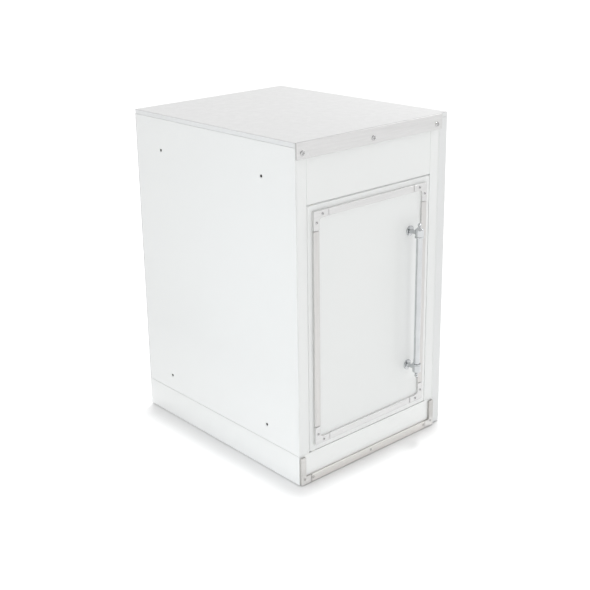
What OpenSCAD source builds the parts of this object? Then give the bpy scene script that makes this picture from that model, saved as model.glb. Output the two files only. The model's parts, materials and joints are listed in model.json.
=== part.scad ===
// Undercounter trash compactor: a cabinet with a side-hinged door, and behind it a
// bin, a ram on two power screws, and the chain drive and motor that turn them.
// Millimetres. The front faces -Y, +Z is up, and the origin is the middle of the
// whole outline, on the floor. Inside place(), x runs from the left side of the
// cabinet, y from the front face to the back, and z from the floor.

/* [Cabinet] */
// Overall width, with the end panel
body_w = 519; // [500:1:560]
// Depth from the front face to the back
body_d = 635; // [600:1:680]
// Overall height
body_h = 864; // [850:1:900]
// Thickness of the top plate
top_t = 12; // [8:1:20]
// Thickness of the end panel on the right
end_panel_t = 28; // [16:1:30]
// Thickness of the side panels
side_t = 2.5; // [2.2:0.1:4]
// Thickness of the sheet in the frame, back and base
sheet_t = 1.5; // [1:0.1:2]
// Height of the plinth
plinth_h = 80; // [76:1:95]
// Height of the feet
foot_h = 2; // [1:0.5:4]
// Radius of the feet
foot_r = 13; // [8:1:13]
// Seam between the plinth and the side panels
plinth_seam = 0.5; // [0.5:0.1:2]
// Wall of the plinth
plinth_wall = 2; // [1.5:0.1:2.5]
// Width of the flanges that carry the base pan
shelf_w = 14; // [8:1:16]
// Thickness of the inner rails
rail_t = 8; // [6:0.5:8]
// Height of the lower inner rails
lower_rail_h = 58; // [54:1:80]
// Height of the upper inner rails
upper_rail_h = 99; // [94:1:110]
// Depth of the beam that holds the power screws
top_beam_d = 56; // [50:1:70]
// Height of that beam
top_beam_h = 12; // [10:1:16]
// Distance of the front side screws from the front
side_screw_front = 120; // [80:1:160]
// Distance of the rear side screws from the back
side_screw_rear = 110; // [80:1:160]
// Height of the lower side screws over the base
side_screw_up = 43; // [30:1:50]
// Distance of the upper side screws under the top plate
side_screw_down = 84; // [30:1:86]
// Length of the vents in the back
vent_w = 60; // [40:1:60]
// Height of each vent
vent_h = 5; // [3:0.5:6]
// Distance from one vent to the next
vent_pitch = 14; // [12:0.5:16]
// Space between the two rows of vents
vent_space = 20; // [10:1:30]

/* [Front frame] */
// Width of each stile, beside the door
stile_w = 33.5; // [30:0.5:40]
// Depth of the stiles
stile_d = 40; // [38:1:44]
// Height of the fascia over the door
fascia_h = 139; // [130:1:150]
// Depth of the fascia's folded edges
fascia_d = 26; // [26:1:30]
// Height of the metal strip along the top
top_trim_h = 39; // [30:1:45]
// How far the metal strip along the top stands out
top_trim_t = 6.5; // [4:0.5:8]
// Radius of the screw heads in that strip
top_head_r = 6.6; // [4:0.2:7]
// Height of the metal strip along the floor
toe_trim_h = 20; // [16:1:30]
// Height of the metal corners at the ends of that strip
toe_trim_up = 74; // [60:1:74]
// Width of the upright leg of those corners
toe_trim_w = 16; // [14:1:20]
// Length of the foot of those corners
toe_trim_leg = 33; // [30:1:40]

/* [Door] */
// Gap at each side of the door
door_gap = 2; // [1.8:0.1:3]
// Gap over the door
door_top_gap = 3; // [2:0.5:4]
// Gap under the door
door_foot_gap = 3; // [3:0.5:6]
// Depth of the door
door_d = 24; // [22:1:26]
// Thickness of the door's skin
skin_t = 1.2; // [0.8:0.1:1.4]
// Thickness of the door's inner liner
liner_t = 2.5; // [2:0.5:4]
// Distance of the liner's rib from the door's edges
liner_rib_in = 30; // [20:1:40]
// Width of the liner's rib
liner_rib_w = 10; // [6:1:16]
// Height of the liner's rib
liner_rib_h = 3; // [2:0.5:5]
// Thickness of the panel framed on the door's face
panel_t = 2; // [1:0.5:4]
// Bare border of the door round its metal frame
trim_border = 14; // [10:1:20]
// Width of the door's metal frame
trim_w = 18; // [14:1:22]
// How far the door's metal frame stands out
trim_t = 6.2; // [5:0.2:9]
// Wall of the metal strips
trim_wall = 1.5; // [1:0.1:2]
// Length of each leg of a corner bracket
bracket_leg = 48; // [40:1:56]
// Radius inside each corner bracket
bracket_r = 12; // [6:1:16]
// Gap between a corner bracket and the strips
bracket_gap = 1.2; // [0.5:0.1:2]

/* [Door handle] */
// Distance from the handle to the right edge of the door
handle_in = 70.5; // [60:0.5:90]
// Distance between the handle's two posts
post_span = 367; // [300:1:400]
// Distance of the upper post below the door's top
post_down = 131; // [110:1:150]
// Distance of the bar's axis from the door's face
bar_out = 34; // [33:1:45]
// Radius of the handle's bar
bar_r = 8; // [6:0.5:8.5]
// Radius of the sleeves that hold the bar
sleeve_r = 11; // [10.5:0.5:13]
// Radius of the handle's posts
post_r = 5.5; // [4.5:0.5:6]
// Radius of the round plates behind the posts
rosette_r = 13.5; // [12:0.5:16]
// Thickness of the round plates behind the posts
rosette_t = 4; // [3:0.5:6]
// Length of the screws that hold the posts, from the inside of the door's skin
handle_screw_l = 16.2; // [15:0.2:18]

/* [Door hinge] */
// Distance of the hinge axis from the door's left edge
hinge_in = 14; // [13:0.5:18]
// Distance of the hinge axis behind the door's face
hinge_back = 6.5; // [6.5:0.1:7]
// Radius of the hinge pins
pin_r = 3; // [2.5:0.1:3.4]
// Radius of the hinge bushes
bush_r = 4.8; // [4.4:0.1:5]
// How far each pin reaches into the door
pin_in = 20; // [12:1:30]
// Width of the hinge brackets
hinge_bracket_w = 36; // [28:1:40]
// Depth of the hinge brackets
hinge_bracket_d = 17.5; // [13:0.5:18]

/* [Bin] */
// Height of the bin
bin_h = 321; // [250:1:330]
// Clearance between the bin's rim and the drive nuts
bin_side_gap = 5; // [3:0.5:12]
// Clearance between the bin and the bulkhead behind it
bin_rear_gap = 12; // [9:1:20]
// Wall of the bin
bin_wall = 3; // [2:0.5:5]
// Width of the rim round the bin's mouth
bin_rim = 8; // [4:1:8]
// Distance of the bin behind the door's liner
bin_back = 32; // [30:1:34]
// Height of the runners under the bin
runner_h = 2; // [1:0.5:4]
// Width of the runners under the bin
runner_w = 30; // [20:1:40]
// Width of the bin's handle
bin_grip_w = 140; // [110:1:160]
// Height of the bin's handle
bin_grip_h = 14; // [10:1:20]
// Distance of the bin's handle below the rim
bin_grip_down = 56; // [30:1:80]

/* [Ram] */
// Height of the ram's plate over the bin's rim at rest
loading_h = 185; // [170:1:190]
// Clearance of the ram's plate in the bin
ram_clear = 10; // [6:1:20]
// Height of the ram's plate
ram_plate_h = 30; // [20:1:40]
// Thickness of the ram's plate
ram_plate_t = 4; // [3:0.5:6]
// Width of the ram's column
column_w = 150; // [100:1:160]
// Depth of the ram's column
column_d = 110; // [80:1:120]
// Foot of the gussets beside the ram's column
gusset_w = 70; // [40:1:90]
// Thickness of those gussets
gusset_t = 4; // [3:0.5:6]
// Clearance between the crossbeam and the beam over it
beam_gap = 25; // [18:1:30]
// Height of the ram's crossbeam
crossbeam_h = 30; // [24:1:30]
// Depth of the ram's crossbeam
crossbeam_d = 50; // [44:1:60]
// Wall of the column and the crossbeam
tube_wall = 3; // [2.5:0.5:4]
// Thread radius of the power screws
screw_r = 10; // [8:0.5:10.5]
// Radius of the power screws' lower ends
foot_journal_r = 8; // [6:0.5:8]
// Radius of the power screws' upper ends
head_journal_r = 7; // [5:0.5:7]
// Distance of each power screw from the side of the cabinet
screw_in = 27.5; // [27.5:0.5:30]
// Distance of the power screws behind the front face
screw_back = 248; // [236:1:250]
// Height of the drive nuts
nut_h = 30; // [20:1:36]
// Radius of the drive nuts
nut_r = 15; // [14:0.5:16]
// Depth of the drive nuts' flanges
nut_flange_d = 48; // [40:1:50]
// Thickness of the drive nuts' flanges
nut_flange_t = 4; // [3:0.5:6]
// Height of the lower screw bearings
bearing_h = 12; // [10:1:14]
// Wall of the lower screw bearings
bearing_wall = 8; // [6:0.5:8]
// Radius of the upper screw bearings
head_bush_r = 12; // [9:0.5:12]

/* [Drive] */
// Pitch of the drive chain
chain_pitch = 9.525; // [9.4:0.025:9.7]
// Teeth on each power screw's sprocket
screw_teeth = 12; // [11:1:12]
// Teeth on the motor's sprocket
motor_teeth = 9; // [9:1:11]
// Thickness of the sprockets
sprocket_t = 6; // [4:0.5:7]
// Radius of the motor
motor_r = 58; // [45:1:60]
// Height of the motor
motor_h = 130; // [100:1:160]
// Distance of the motor's shaft from the back
motor_in = 92; // [86:1:92]
// Radius of the motor's shaft
shaft_r = 6; // [5:0.5:7]
// How far the gear case reaches past the motor
gearcase_edge = 14; // [10:1:18]
// Height of the gear case
gearcase_h = 30; // [24:1:40]
// Clearance between the gear case and the bulkhead
motor_gap = 17.5; // [8:0.5:18]

/* [Controls and supply] */
// Distance of the control box from the door's left edge
control_in = 60; // [40:1:70]
// Width of the control box
control_w = 130; // [110:1:140]
// Depth of the control box
control_d = 48; // [44:1:60]
// Height of the control box
control_h = 68.5; // [60:0.5:72]
// Wall of the control box
control_wall = 2; // [1.5:0.5:3]
// Width of the power rocker
rocker_w = 22; // [18:1:24]
// Depth of the power rocker
rocker_d = 12; // [10:1:14]
// Height of the power rocker
rocker_h = 4; // [3:0.5:5]
// Distance of the power rocker from the control box's left side
rocker_in = 60; // [40:1:80]
// Tilt of the power rocker to each side
rocker_tilt = 7; // [5:1:8]
// Distance of the inlet from the right side of the cabinet
inlet_in = 66; // [50:1:90]
// Height of the inlet over the base
inlet_up = 60; // [40:1:90]
// Width of the inlet
inlet_w = 50; // [44:1:60]
// Depth of the inlet
inlet_d = 22; // [20:1:26]
// Height of the inlet
inlet_h = 30; // [28:1:36]
// Radius of the tube that carries the wires
conduit_r = 5; // [4:0.5:6]

/* [Hidden] */
$fn = 48;

// clearances
fit = 0.3;             // faces that pass each other
running = 0.05;        // radial, a shaft in its bush
through = 0.25;        // radial, a screw in its hole
eps = 0.01;            // a cut runs this far past a face

// how far the outline reaches past the front face and the back
rear_reach = 2;
front_reach = bar_out + sleeve_r + 0.6;
y_front = (front_reach - body_d - rear_reach) / 2;

// cabinet
core_w = body_w - end_panel_t;
core_x = core_w / 2;
top_z = body_h - top_t;
inner_y = body_d - sheet_t;
rail_x = side_t + rail_t;
pan_z = plinth_h + sheet_t + 0.5;
lower_rail_z = pan_z + lower_rail_h;
upper_rail_z = top_z - upper_rail_h;
flange_w = 2 * foot_r + 4;
toe_fold = 20;
side_screw_y = [side_screw_front, body_d - side_screw_rear];
side_screw_z = [pan_z + side_screw_up, top_z - side_screw_down];
top_beam_z = top_z - top_beam_h;

// door
open_x = [stile_w, core_w - stile_w];
door_x = [open_x[0] + door_gap, open_x[1] - door_gap];
fascia_z = top_z - fascia_h;
door_z = [plinth_h + door_foot_gap, fascia_z - door_top_gap];
trim_x = [door_x[0] + trim_border, door_x[1] - trim_border];
trim_z = [door_z[0] + trim_border, door_z[1] - trim_border];
panel_lap = trim_w / 2;
panel_x = [trim_x[0] + panel_lap, trim_x[1] - panel_lap];
panel_z = [trim_z[0] + panel_lap, trim_z[1] - panel_lap];
handle_x = door_x[1] - handle_in;
post_z = [door_z[1] - post_down - post_span, door_z[1] - post_down];
handle_screw_r = 2.5;
hinge_x = door_x[0] + hinge_in;
bracket_t = 5;
bracket_up = 0.8;      // how far the corner brackets stand over the strips' face
catch_w = 14;
catch_h = 40;
catch_x = open_x[1] - catch_w;
catch_z = (door_z[0] + door_z[1] - catch_h) / 2;
keeper_t = 0.7;
switch_size = [20, 30, 20];
switch_z = door_z[1] - 24;
switch_y = door_d + 8;
plunger_r = 2.5;
plunger_l = 15.7;

// motor, and the bulkhead in front of it
motor_x = core_x;
motor_y = body_d - motor_in;
gearcase_r = motor_r + gearcase_edge;
bulkhead_y = motor_y - gearcase_r - motor_gap - sheet_t;

// bin and ram
screw_x = [screw_in, core_w - screw_in];
bin_x = screw_x[0] + nut_r + bin_side_gap + bin_rim;
bin_w = core_w - 2 * bin_x;
bin_y = door_d + bin_back;
bin_d = bulkhead_y - bin_y - bin_rear_gap;
bin_z = pan_z + runner_h;
rim_z = bin_z + bin_h;
ram_x = bin_x + bin_wall + ram_clear;
ram_y = bin_y + bin_wall + ram_clear;
ram_z = rim_z + loading_h;
ram_w = bin_w - 2 * (bin_wall + ram_clear);
ram_d = bin_d - 2 * (bin_wall + ram_clear);
column_z = ram_z + ram_plate_t;
beam_z = top_beam_z - beam_gap - crossbeam_h;
column_h = beam_z - column_z;

// power screws and bearings
bearing_top_z = pan_z + bearing_h;
thread_z = [bearing_top_z + fit, top_beam_z - bearing_h];

// chain drive under the base pan
sprocket_z = plinth_h / 2 + 4;
chain_gap = 0.4;
chain_t = 1.4;
chain_w = 8.6;
roller_r = 3.2;
function pitch_r(teeth) = chain_pitch / 2 / sin(180 / teeth);
sprockets = [
    [screw_x[0], screw_back, pitch_r(screw_teeth)],
    [screw_x[1], screw_back, pitch_r(screw_teeth)],
    [motor_x, motor_y, pitch_r(motor_teeth)]
];

// controls and supply
rocker_size = [rocker_w, rocker_d, rocker_h];
inlet_size = [inlet_w, inlet_d, inlet_h];
box_lo = [door_x[0] + control_in, 6, fascia_z + sheet_t];
box_hi = box_lo + [control_w, control_d, control_h];
rocker_at = [box_lo[0] + rocker_in, fascia_d + 14, box_lo[2] + 2];
inlet_x = core_w - inlet_in;
inlet_z = pan_z + inlet_up;
conduit_x = inlet_x + conduit_r;
conduit_z = top_beam_z - conduit_r - 9;

// ---- shared shapes ----

module place() {
    translate([-body_w / 2, y_front, 0]) children();
}

module box(lo, hi) {
    translate(lo) cube(hi - lo);
}

// a round bar or hole along x, y or z, from p
module rod_x(p, r, l) {
    translate(p) rotate([0, 90, 0]) cylinder(r = r, h = l);
}

module rod_y(p, r, l) {
    translate(p) rotate([-90, 0, 0]) cylinder(r = r, h = l);
}

module rod_z(p, r, l) {
    translate(p) cylinder(r = r, h = l);
}

// a pan of sheet t thick whose closed face is at y = lo[1]
module pan_y(lo, hi, t) {
    difference() {
        box(lo, hi);
        box([lo[0] + t, lo[1] + t, lo[2] + t], [hi[0] - t, hi[1] + eps, hi[2] - t]);
    }
}

// a hollow bar of metal strip on a face at y = 0, open towards it
module strip(x, z, out) {
    translate([0, -out, 0])
        pan_y([x[0], 0, z[0]], [x[1], out, z[1]], trim_wall);
}

// a domed screw on a face at y: head is its head's radius and height and its shank's radius
module dome_screw(x, y, z, head, shank) {
    rim = 0.05;
    dome_h = head[1] - rim;
    dome_r = (head[0] * head[0] + dome_h * dome_h) / (2 * dome_h);
    translate([x, y, z]) rotate([90, 0, 0]) {
        intersection() {
            translate([0, 0, head[1] - dome_r]) sphere(r = dome_r);
            cylinder(r = head[0], h = head[1]);
        }
        translate([0, 0, -shank]) cylinder(r = head[2], h = shank + eps);
    }
}

// ---- cabinet ----

module top_plate() {
    color("gainsboro") place() box([0, 0, top_z], [body_w, body_d, body_h]);
}

// a screw's round head in a recess of the panel, and its shank, along x
side_head = [3.3, 1];
side_shank_r = 1.8;

module side_panel(x0) {
    box([x0, 0, plinth_h + plinth_seam], [x0 + side_t, inner_y, top_z]);
}

module left_side_panel() {
    color("white") place() difference() {
        side_panel(0);
        for (y = side_screw_y, z = side_screw_z) {
            rod_x([-1, y, z], side_head[0] + through, 1 + side_head[1]);
            rod_x([0, y, z], side_shank_r + through, side_t + 1);
        }
    }
}

module side_screws() {
    color("dimgray") place() for (y = side_screw_y, z = side_screw_z) {
        rod_x([side_head[1] - 0.8, y, z], side_head[0], 0.8);
        rod_x([side_head[1] - eps, y, z], side_shank_r, rail_x - 2);
    }
}

module right_side_panel() {
    color("white") place() side_panel(core_w - side_t);
}

module right_end_panel() {
    color("white") place() box([core_w, 0, foot_h], [body_w, body_d, top_z]);
}

module back_panel() {
    vents = 7;
    color("gainsboro") place() difference() {
        box([0, inner_y, plinth_h + plinth_seam], [core_w, body_d, top_z]);
        for (i = [0 : vents - 1], side = [0, 1]) translate([motor_x, inner_y - 1, 0])
            mirror([side, 0, 0]) translate([vent_space / 2, 0, lower_rail_z + (i - 1) * vent_pitch])
                cube([vent_w, sheet_t + 2, vent_h]);
        box([inlet_x - inlet_size[0] / 2, inner_y - 1, inlet_z],
            [inlet_x + inlet_size[0] / 2, body_d + 1, inlet_z + inlet_size[2]]);
        for (p = back_screw_at) rod_y([p[0], inner_y - 1, p[1]], back_screw_r, sheet_t + 2);
    }
}

back_screw_r = 2;
back_screw_l = 8;
back_screw_at = [
    for (x = [rail_x - rail_t / 2, core_w - rail_x + rail_t / 2],
         z = [pan_z + 20, lower_rail_z - 10, upper_rail_z + 19, top_z - 20]) [x, z]
];

module back_screws() {
    color("silver") place() for (p = back_screw_at) {
        rod_y([p[0], body_d, p[1]], back_screw_r + 1.8, rear_reach);
        rod_y([p[0], inner_y - back_screw_l, p[1]], back_screw_r - running,
            sheet_t + back_screw_l + eps);
    }
}

// ---- front frame ----

// an upright channel, open to the back
module stile(x0, x1) {
    box([x0, 0, plinth_h + fit], [x1, sheet_t, top_z]);
    for (x = [x0, x1 - sheet_t])
        box([x, 0, plinth_h + fit], [x + sheet_t, stile_d, top_z]);
}

// domed screws through the metal strips
top_screw = [top_head_r, 2.6, 2.1];
trim_screw = [3.4, 1.9, 1.7];

module trim_screw_holes(at, screw) {
    for (p = at)
        rod_y([p[0], -top_trim_t - trim_t, p[1]], screw[2] + through, top_trim_t + trim_t + 12);
}

top_screw_at = [
    for (x = [stile_w / 2, core_x, core_w - stile_w / 2]) [x, top_z - top_trim_h / 3]
];

module left_stile() {
    color("white") place() difference() {
        stile(side_t, open_x[0]);
        trim_screw_holes(top_screw_at, top_screw);
    }
}

module right_stile() {
    color("white") place() difference() {
        stile(open_x[1], core_w - side_t);
        trim_screw_holes(top_screw_at, top_screw);
    }
}

module fascia_panel() {
    color("white") place() difference() {
        pan_y([open_x[0], 0, fascia_z], [open_x[1], fascia_d, top_z], sheet_t);
        trim_screw_holes(top_screw_at, top_screw);
        rod_z([hinge_x, hinge_back, fascia_z - 1], pin_r + 0.5, sheet_t + 2);
    }
}

module top_trim() {
    color("lightgray") place() difference() {
        strip([0.5, core_w + 2], [body_h - top_trim_h, body_h], top_trim_t);
        trim_screw_holes(top_screw_at, top_screw);
    }
}

module toe_panel() {
    color("white") place() difference() {
        union() {
            box([plinth_wall, 0, foot_h], [core_w - plinth_wall, sheet_t, plinth_h]);
            box([plinth_wall, 0, plinth_h - sheet_t],
                [core_w - plinth_wall, toe_fold, plinth_h]);
        }
        rod_z([hinge_x, hinge_back, plinth_h - sheet_t - 1], pin_r + 0.5, sheet_t + 2);
        trim_screw_holes(toe_screw_at, trim_screw);
    }
}

// a metal strip along the floor, with a corner at each end
toe_x = [plinth_wall, core_w - plinth_wall];
toe_screw_in = [10, toe_trim_leg + 6];
toe_screw_at = [
    [toe_x[0] + toe_screw_in[0], foot_h + 15],
    [toe_x[1] - toe_screw_in[0], foot_h + 15],
    [toe_x[0] + toe_screw_in[1], foot_h + toe_trim_h * 0.6],
    [toe_x[1] - toe_screw_in[1], foot_h + toe_trim_h * 0.6],
    [core_x, foot_h + toe_trim_h * 0.6]
];

module toe_trim() {
    color("lightgray") place() difference() {
        strip([toe_x[0] + toe_trim_leg + bracket_gap, toe_x[1] - toe_trim_leg - bracket_gap],
            [foot_h, foot_h + toe_trim_h], trim_t);
        trim_screw_holes(toe_screw_at, trim_screw);
    }
}

module toe_trim_corners() {
    color("lightgray") place() difference() {
        for (side = [0, 1]) translate([toe_x[side], 0, foot_h]) mirror([side, 0, 0]) {
            strip([0, toe_trim_w], [0, toe_trim_up], trim_t);
            strip([toe_trim_w - trim_wall, toe_trim_leg], [0, toe_trim_h], trim_t);
        }
        trim_screw_holes(toe_screw_at, trim_screw);
    }
}

module front_screws() {
    color("silver") place() {
        for (p = top_screw_at)
            dome_screw(p[0], -top_trim_t, p[1], top_screw, top_trim_t + 8);
        for (p = toe_screw_at) dome_screw(p[0], -trim_t, p[1], trim_screw, trim_t + 6);
    }
}

// ---- plinth ----

module base_frame() {
    w = plinth_wall;
    color("white") place() {
        for (x = [0, core_w - w]) box([x, 0, foot_h], [x + w, body_d, plinth_h]);
        box([0, body_d - w, foot_h], [core_w, body_d, plinth_h]);
        // flanges under the frame, and others that carry the base pan
        for (x = [w - eps, core_w - flange_w])
            box([x, sheet_t + fit, foot_h], [x + flange_w - w + eps, body_d - w, foot_h + w]);
        for (y = [sheet_t + fit, body_d - flange_w])
            box([w - eps, y, foot_h], [core_w - w + eps, y + flange_w - w, foot_h + w]);
        for (x = [w - eps, core_w - shelf_w])
            box([x, stile_d, plinth_h - w], [x + shelf_w - w + eps, body_d - w, plinth_h]);
        box([w, body_d - shelf_w, plinth_h - w], [core_w - w, body_d - w + eps, plinth_h]);
    }
}

module base_pan() {
    color("silver") place() difference() {
        union() {
            box([side_t, stile_d, plinth_h], [core_w - side_t, inner_y, pan_z]);
            box([open_x[0], toe_fold - 2, plinth_h], [open_x[1], stile_d + eps, pan_z]);
        }
        for (x = screw_x)
            rod_z([x, screw_back, plinth_h - 1], foot_journal_r + 2, pan_z - plinth_h + 2);
        rod_z([motor_x, motor_y, plinth_h - 1], shaft_r + 3, pan_z - plinth_h + 2);
    }
}

module feet() {
    color("dimgray") place()
        for (x = [foot_r + 3, body_w - end_panel_t / 2], y = [foot_r + 3, body_d - foot_r - 3])
            rod_z([x, y, 0], min(foot_r, end_panel_t / 2 - 0.5), foot_h);
}

// ---- inner frame ----

module rails(x) {
    box([x, stile_d, pan_z], [x + rail_t, inner_y, lower_rail_z]);
    box([x, stile_d, upper_rail_z], [x + rail_t, inner_y, top_z]);
}

module rail_screw_holes() {
    for (p = back_screw_at)
        rod_y([p[0], inner_y - back_screw_l - 1, p[1]], back_screw_r, back_screw_l + 2);
}

module inner_rails() {
    color("silver") place() difference() {
        for (x = [side_t, core_w - rail_x]) rails(x);
        rail_screw_holes();
        for (y = side_screw_y, z = side_screw_z)
            rod_x([side_t - 1, y, z], side_shank_r + running, rail_t + 2);
    }
}

module top_beam() {
    color("silver") place() difference() {
        box([rail_x, screw_back - top_beam_d / 2, top_beam_z],
            [core_w - rail_x, screw_back + top_beam_d / 2, top_z]);
        for (x = screw_x)
            rod_z([x, screw_back, top_beam_z - 1], head_bush_r + running, top_beam_h + 2);
    }
}

module rear_bulkhead() {
    y = [bulkhead_y, bulkhead_y + sheet_t];
    color("silver") place() difference() {
        union() {
            box([rail_x, y[0], pan_z], [core_w - rail_x, y[1], top_z - 1]);
            box([side_t, y[0], lower_rail_z], [core_w - side_t, y[1], upper_rail_z]);
        }
        rod_y([conduit_x, y[0] - 1, conduit_z], conduit_r + 1, sheet_t + 2);
    }
}

// ---- door ----

module post_holes(r) {
    for (z = post_z) rod_y([handle_x, -panel_t - 1, z], r, panel_t + skin_t + 2);
}

module door_skin() {
    color("white") place() difference() {
        pan_y([door_x[0], 0, door_z[0]], [door_x[1], door_d - liner_t, door_z[1]], skin_t);
        for (z = [door_z[0] - 1, door_z[1] - skin_t - 1])
            rod_z([hinge_x, hinge_back, z], bush_r + running, skin_t + 2);
        post_holes(handle_screw_r + through);
        trim_screw_holes(bracket_screw_at, trim_screw);
    }
}

module door_liner() {
    color("whitesmoke") place() union() {
        box([door_x[0], door_d - liner_t, door_z[0]], [door_x[1], door_d, door_z[1]]);
        // a rib inside the door keeps the liner stiff
        out = liner_rib_in;
        in = liner_rib_in + liner_rib_w;
        y = door_d - liner_t - liner_rib_h;
        difference() {
            box([door_x[0] + out, y, door_z[0] + out],
                [door_x[1] - out, door_d - liner_t + eps, door_z[1] - out]);
            box([door_x[0] + in, y - 1, door_z[0] + in], [door_x[1] - in, door_d, door_z[1] - in]);
        }
    }
}

module door_panel() {
    color("white") place() difference() {
        box([panel_x[0], -panel_t, panel_z[0]], [panel_x[1], 0, panel_z[1]]);
        post_holes(handle_screw_r + through);
        trim_screw_holes(bracket_screw_at, trim_screw);
    }
}

// a strip of the door's frame, which laps over the panel's edge
module door_strip(x, z) {
    difference() {
        strip(x, z, trim_t);
        box([panel_x[0], -panel_t, panel_z[0]], [panel_x[1], 1, panel_z[1]]);
    }
}

strip_x = [trim_x[0] + bracket_leg + bracket_gap, trim_x[1] - bracket_leg - bracket_gap];
strip_z = [trim_z[0] + bracket_leg + bracket_gap, trim_z[1] - bracket_leg - bracket_gap];

module door_trim_rails() {
    color("lightgray") place() {
        door_strip(strip_x, [trim_z[0], trim_z[0] + trim_w]);
        door_strip(strip_x, [trim_z[1] - trim_w, trim_z[1]]);
    }
}

module door_trim_stiles() {
    color("lightgray") place() {
        door_strip([trim_x[0], trim_x[0] + trim_w], strip_z);
        door_strip([trim_x[1] - trim_w, trim_x[1]], strip_z);
    }
}

// the outline of one corner bracket, its outer corner at the origin
module bracket_outline() {
    difference() {
        square(bracket_leg);
        translate([trim_w + bracket_r, trim_w + bracket_r]) {
            circle(r = bracket_r);
            translate([-bracket_r, 0]) square(bracket_leg);
            translate([0, -bracket_r]) square(bracket_leg);
        }
    }
}

// each corner of the door's frame, with the way the bracket's legs run from it
bracket_corners = [
    for (i = [0, 1], k = [0, 1]) [trim_x[i], trim_z[k], i == 0 ? 1 : -1, k == 0 ? 1 : -1]
];
bracket_screw_long = bracket_leg - 20;
bracket_screw_at = [
    for (c = bracket_corners)
        for (s = [[bracket_screw_long, trim_w / 2], [trim_w / 2, bracket_screw_long]])
            [c[0] + c[2] * s[0], c[1] + c[3] * s[1]]
];

module door_corner_brackets() {
    color("lightgray") place() difference() {
        for (c = bracket_corners)
            translate([c[0], 0, c[1]]) rotate([90, 0, 0]) linear_extrude(trim_t + bracket_up)
                scale_to(c[2], c[3]) bracket_outline();
        box([panel_x[0], -panel_t, panel_z[0]], [panel_x[1], 1, panel_z[1]]);
        trim_screw_holes(bracket_screw_at, trim_screw);
    }
}

// turns an outline to the quarter that x and y signs give
module scale_to(x, y) {
    mirror([x < 0 ? 1 : 0, 0, 0]) mirror([0, y < 0 ? 1 : 0, 0]) children();
}

module door_trim_screws() {
    color("silver") place()
        for (p = bracket_screw_at)
            dome_screw(p[0], -bracket_up - trim_t, p[1], trim_screw, trim_t + 5);
}

// ---- handle ----

sleeve_in = 12;        // from the post's axis to the sleeve's inner end
sleeve_tip = 10;       // from the post's axis to the sleeve's shoulder
bar_end = 8;           // from the post's axis to the end of the bar

// a turned sleeve with a collar at its inner end and a ball at its tip
module sleeve(z, up) {
    ball_r = 5;
    neck_r = 4;
    taper = 6;
    translate([handle_x, -bar_out, z]) mirror([0, 0, up ? 0 : 1]) difference() {
        union() {
            rotate_extrude() polygon([
                [0, -sleeve_in], [sleeve_r + 0.6, -sleeve_in],
                [sleeve_r + 0.6, 3 - sleeve_in], [sleeve_r - 0.8, 3 - sleeve_in],
                [sleeve_r - 0.8, 4 - sleeve_in], [sleeve_r, 4 - sleeve_in],
                [sleeve_r, sleeve_tip], [neck_r, sleeve_tip + taper],
                [neck_r, sleeve_tip + taper + 2], [0, sleeve_tip + taper + 2]
            ]);
            translate([0, 0, sleeve_tip + taper + 1 + ball_r]) sphere(r = ball_r);
        }
        translate([0, 0, -sleeve_in - 1]) cylinder(r = bar_r + running, h = sleeve_in + 1 + bar_end);
        rotate([-90, 0, 0]) cylinder(r = post_r + running, h = sleeve_r + 2);
    }
}

module handle_sleeves() {
    color("silver") place() {
        sleeve(post_z[0], false);
        sleeve(post_z[1], true);
    }
}

module handle_bar() {
    color("silver") place()
        rod_z([handle_x, -bar_out, post_z[0] - bar_end], bar_r, post_span + 2 * bar_end);
}

module handle_posts() {
    y0 = bar_r - bar_out;
    y1 = -panel_t - rosette_t;
    color("silver") place() for (z = post_z) difference() {
        rod_y([handle_x, y0, z], post_r, y1 - y0);
        rod_y([handle_x, y1 - 10, z], handle_screw_r + running, 11);
    }
}

module handle_rosettes() {
    color("silver") place() for (z = post_z)
        translate([handle_x, -panel_t, z]) rotate([90, 0, 0]) difference() {
            rotate_extrude() polygon([
                [0, 0], [rosette_r, 0], [rosette_r, rosette_t * 0.4],
                [rosette_r - 2, rosette_t * 0.7], [post_r + 2, rosette_t], [0, rosette_t]
            ]);
            translate([0, 0, -1]) cylinder(r = handle_screw_r + through, h = rosette_t + 2);
        }
}

module handle_screws() {
    color("dimgray") place() for (z = post_z) {
        rod_y([handle_x, skin_t, z], handle_screw_r + 2, 3);
        rod_y([handle_x, skin_t + eps - handle_screw_l, z], handle_screw_r, handle_screw_l);
    }
}

// ---- door hinge and catch ----

module hinge_brackets() {
    x0 = hinge_x - hinge_bracket_w / 2 + 4;
    color("silver") place() for (z = [fascia_z + sheet_t, plinth_h - sheet_t - bracket_t])
        difference() {
            box([x0, sheet_t, z],
                [x0 + hinge_bracket_w, sheet_t + hinge_bracket_d, z + bracket_t]);
            rod_z([hinge_x, hinge_back, z - 1], pin_r + running, bracket_t + 2);
        }
}

module hinge_pins() {
    head = 2;
    low = plinth_h - sheet_t - bracket_t;
    high = fascia_z + sheet_t + bracket_t;
    color("dimgray") place() {
        rod_z([hinge_x, hinge_back, low - head], pin_r + 1.5, head);
        rod_z([hinge_x, hinge_back, low - eps], pin_r, door_z[0] + pin_in - low);
        rod_z([hinge_x, hinge_back, high], pin_r + 1.5, head);
        rod_z([hinge_x, hinge_back, door_z[1] - pin_in], pin_r, high - door_z[1] + pin_in + eps);
    }
}

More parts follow.
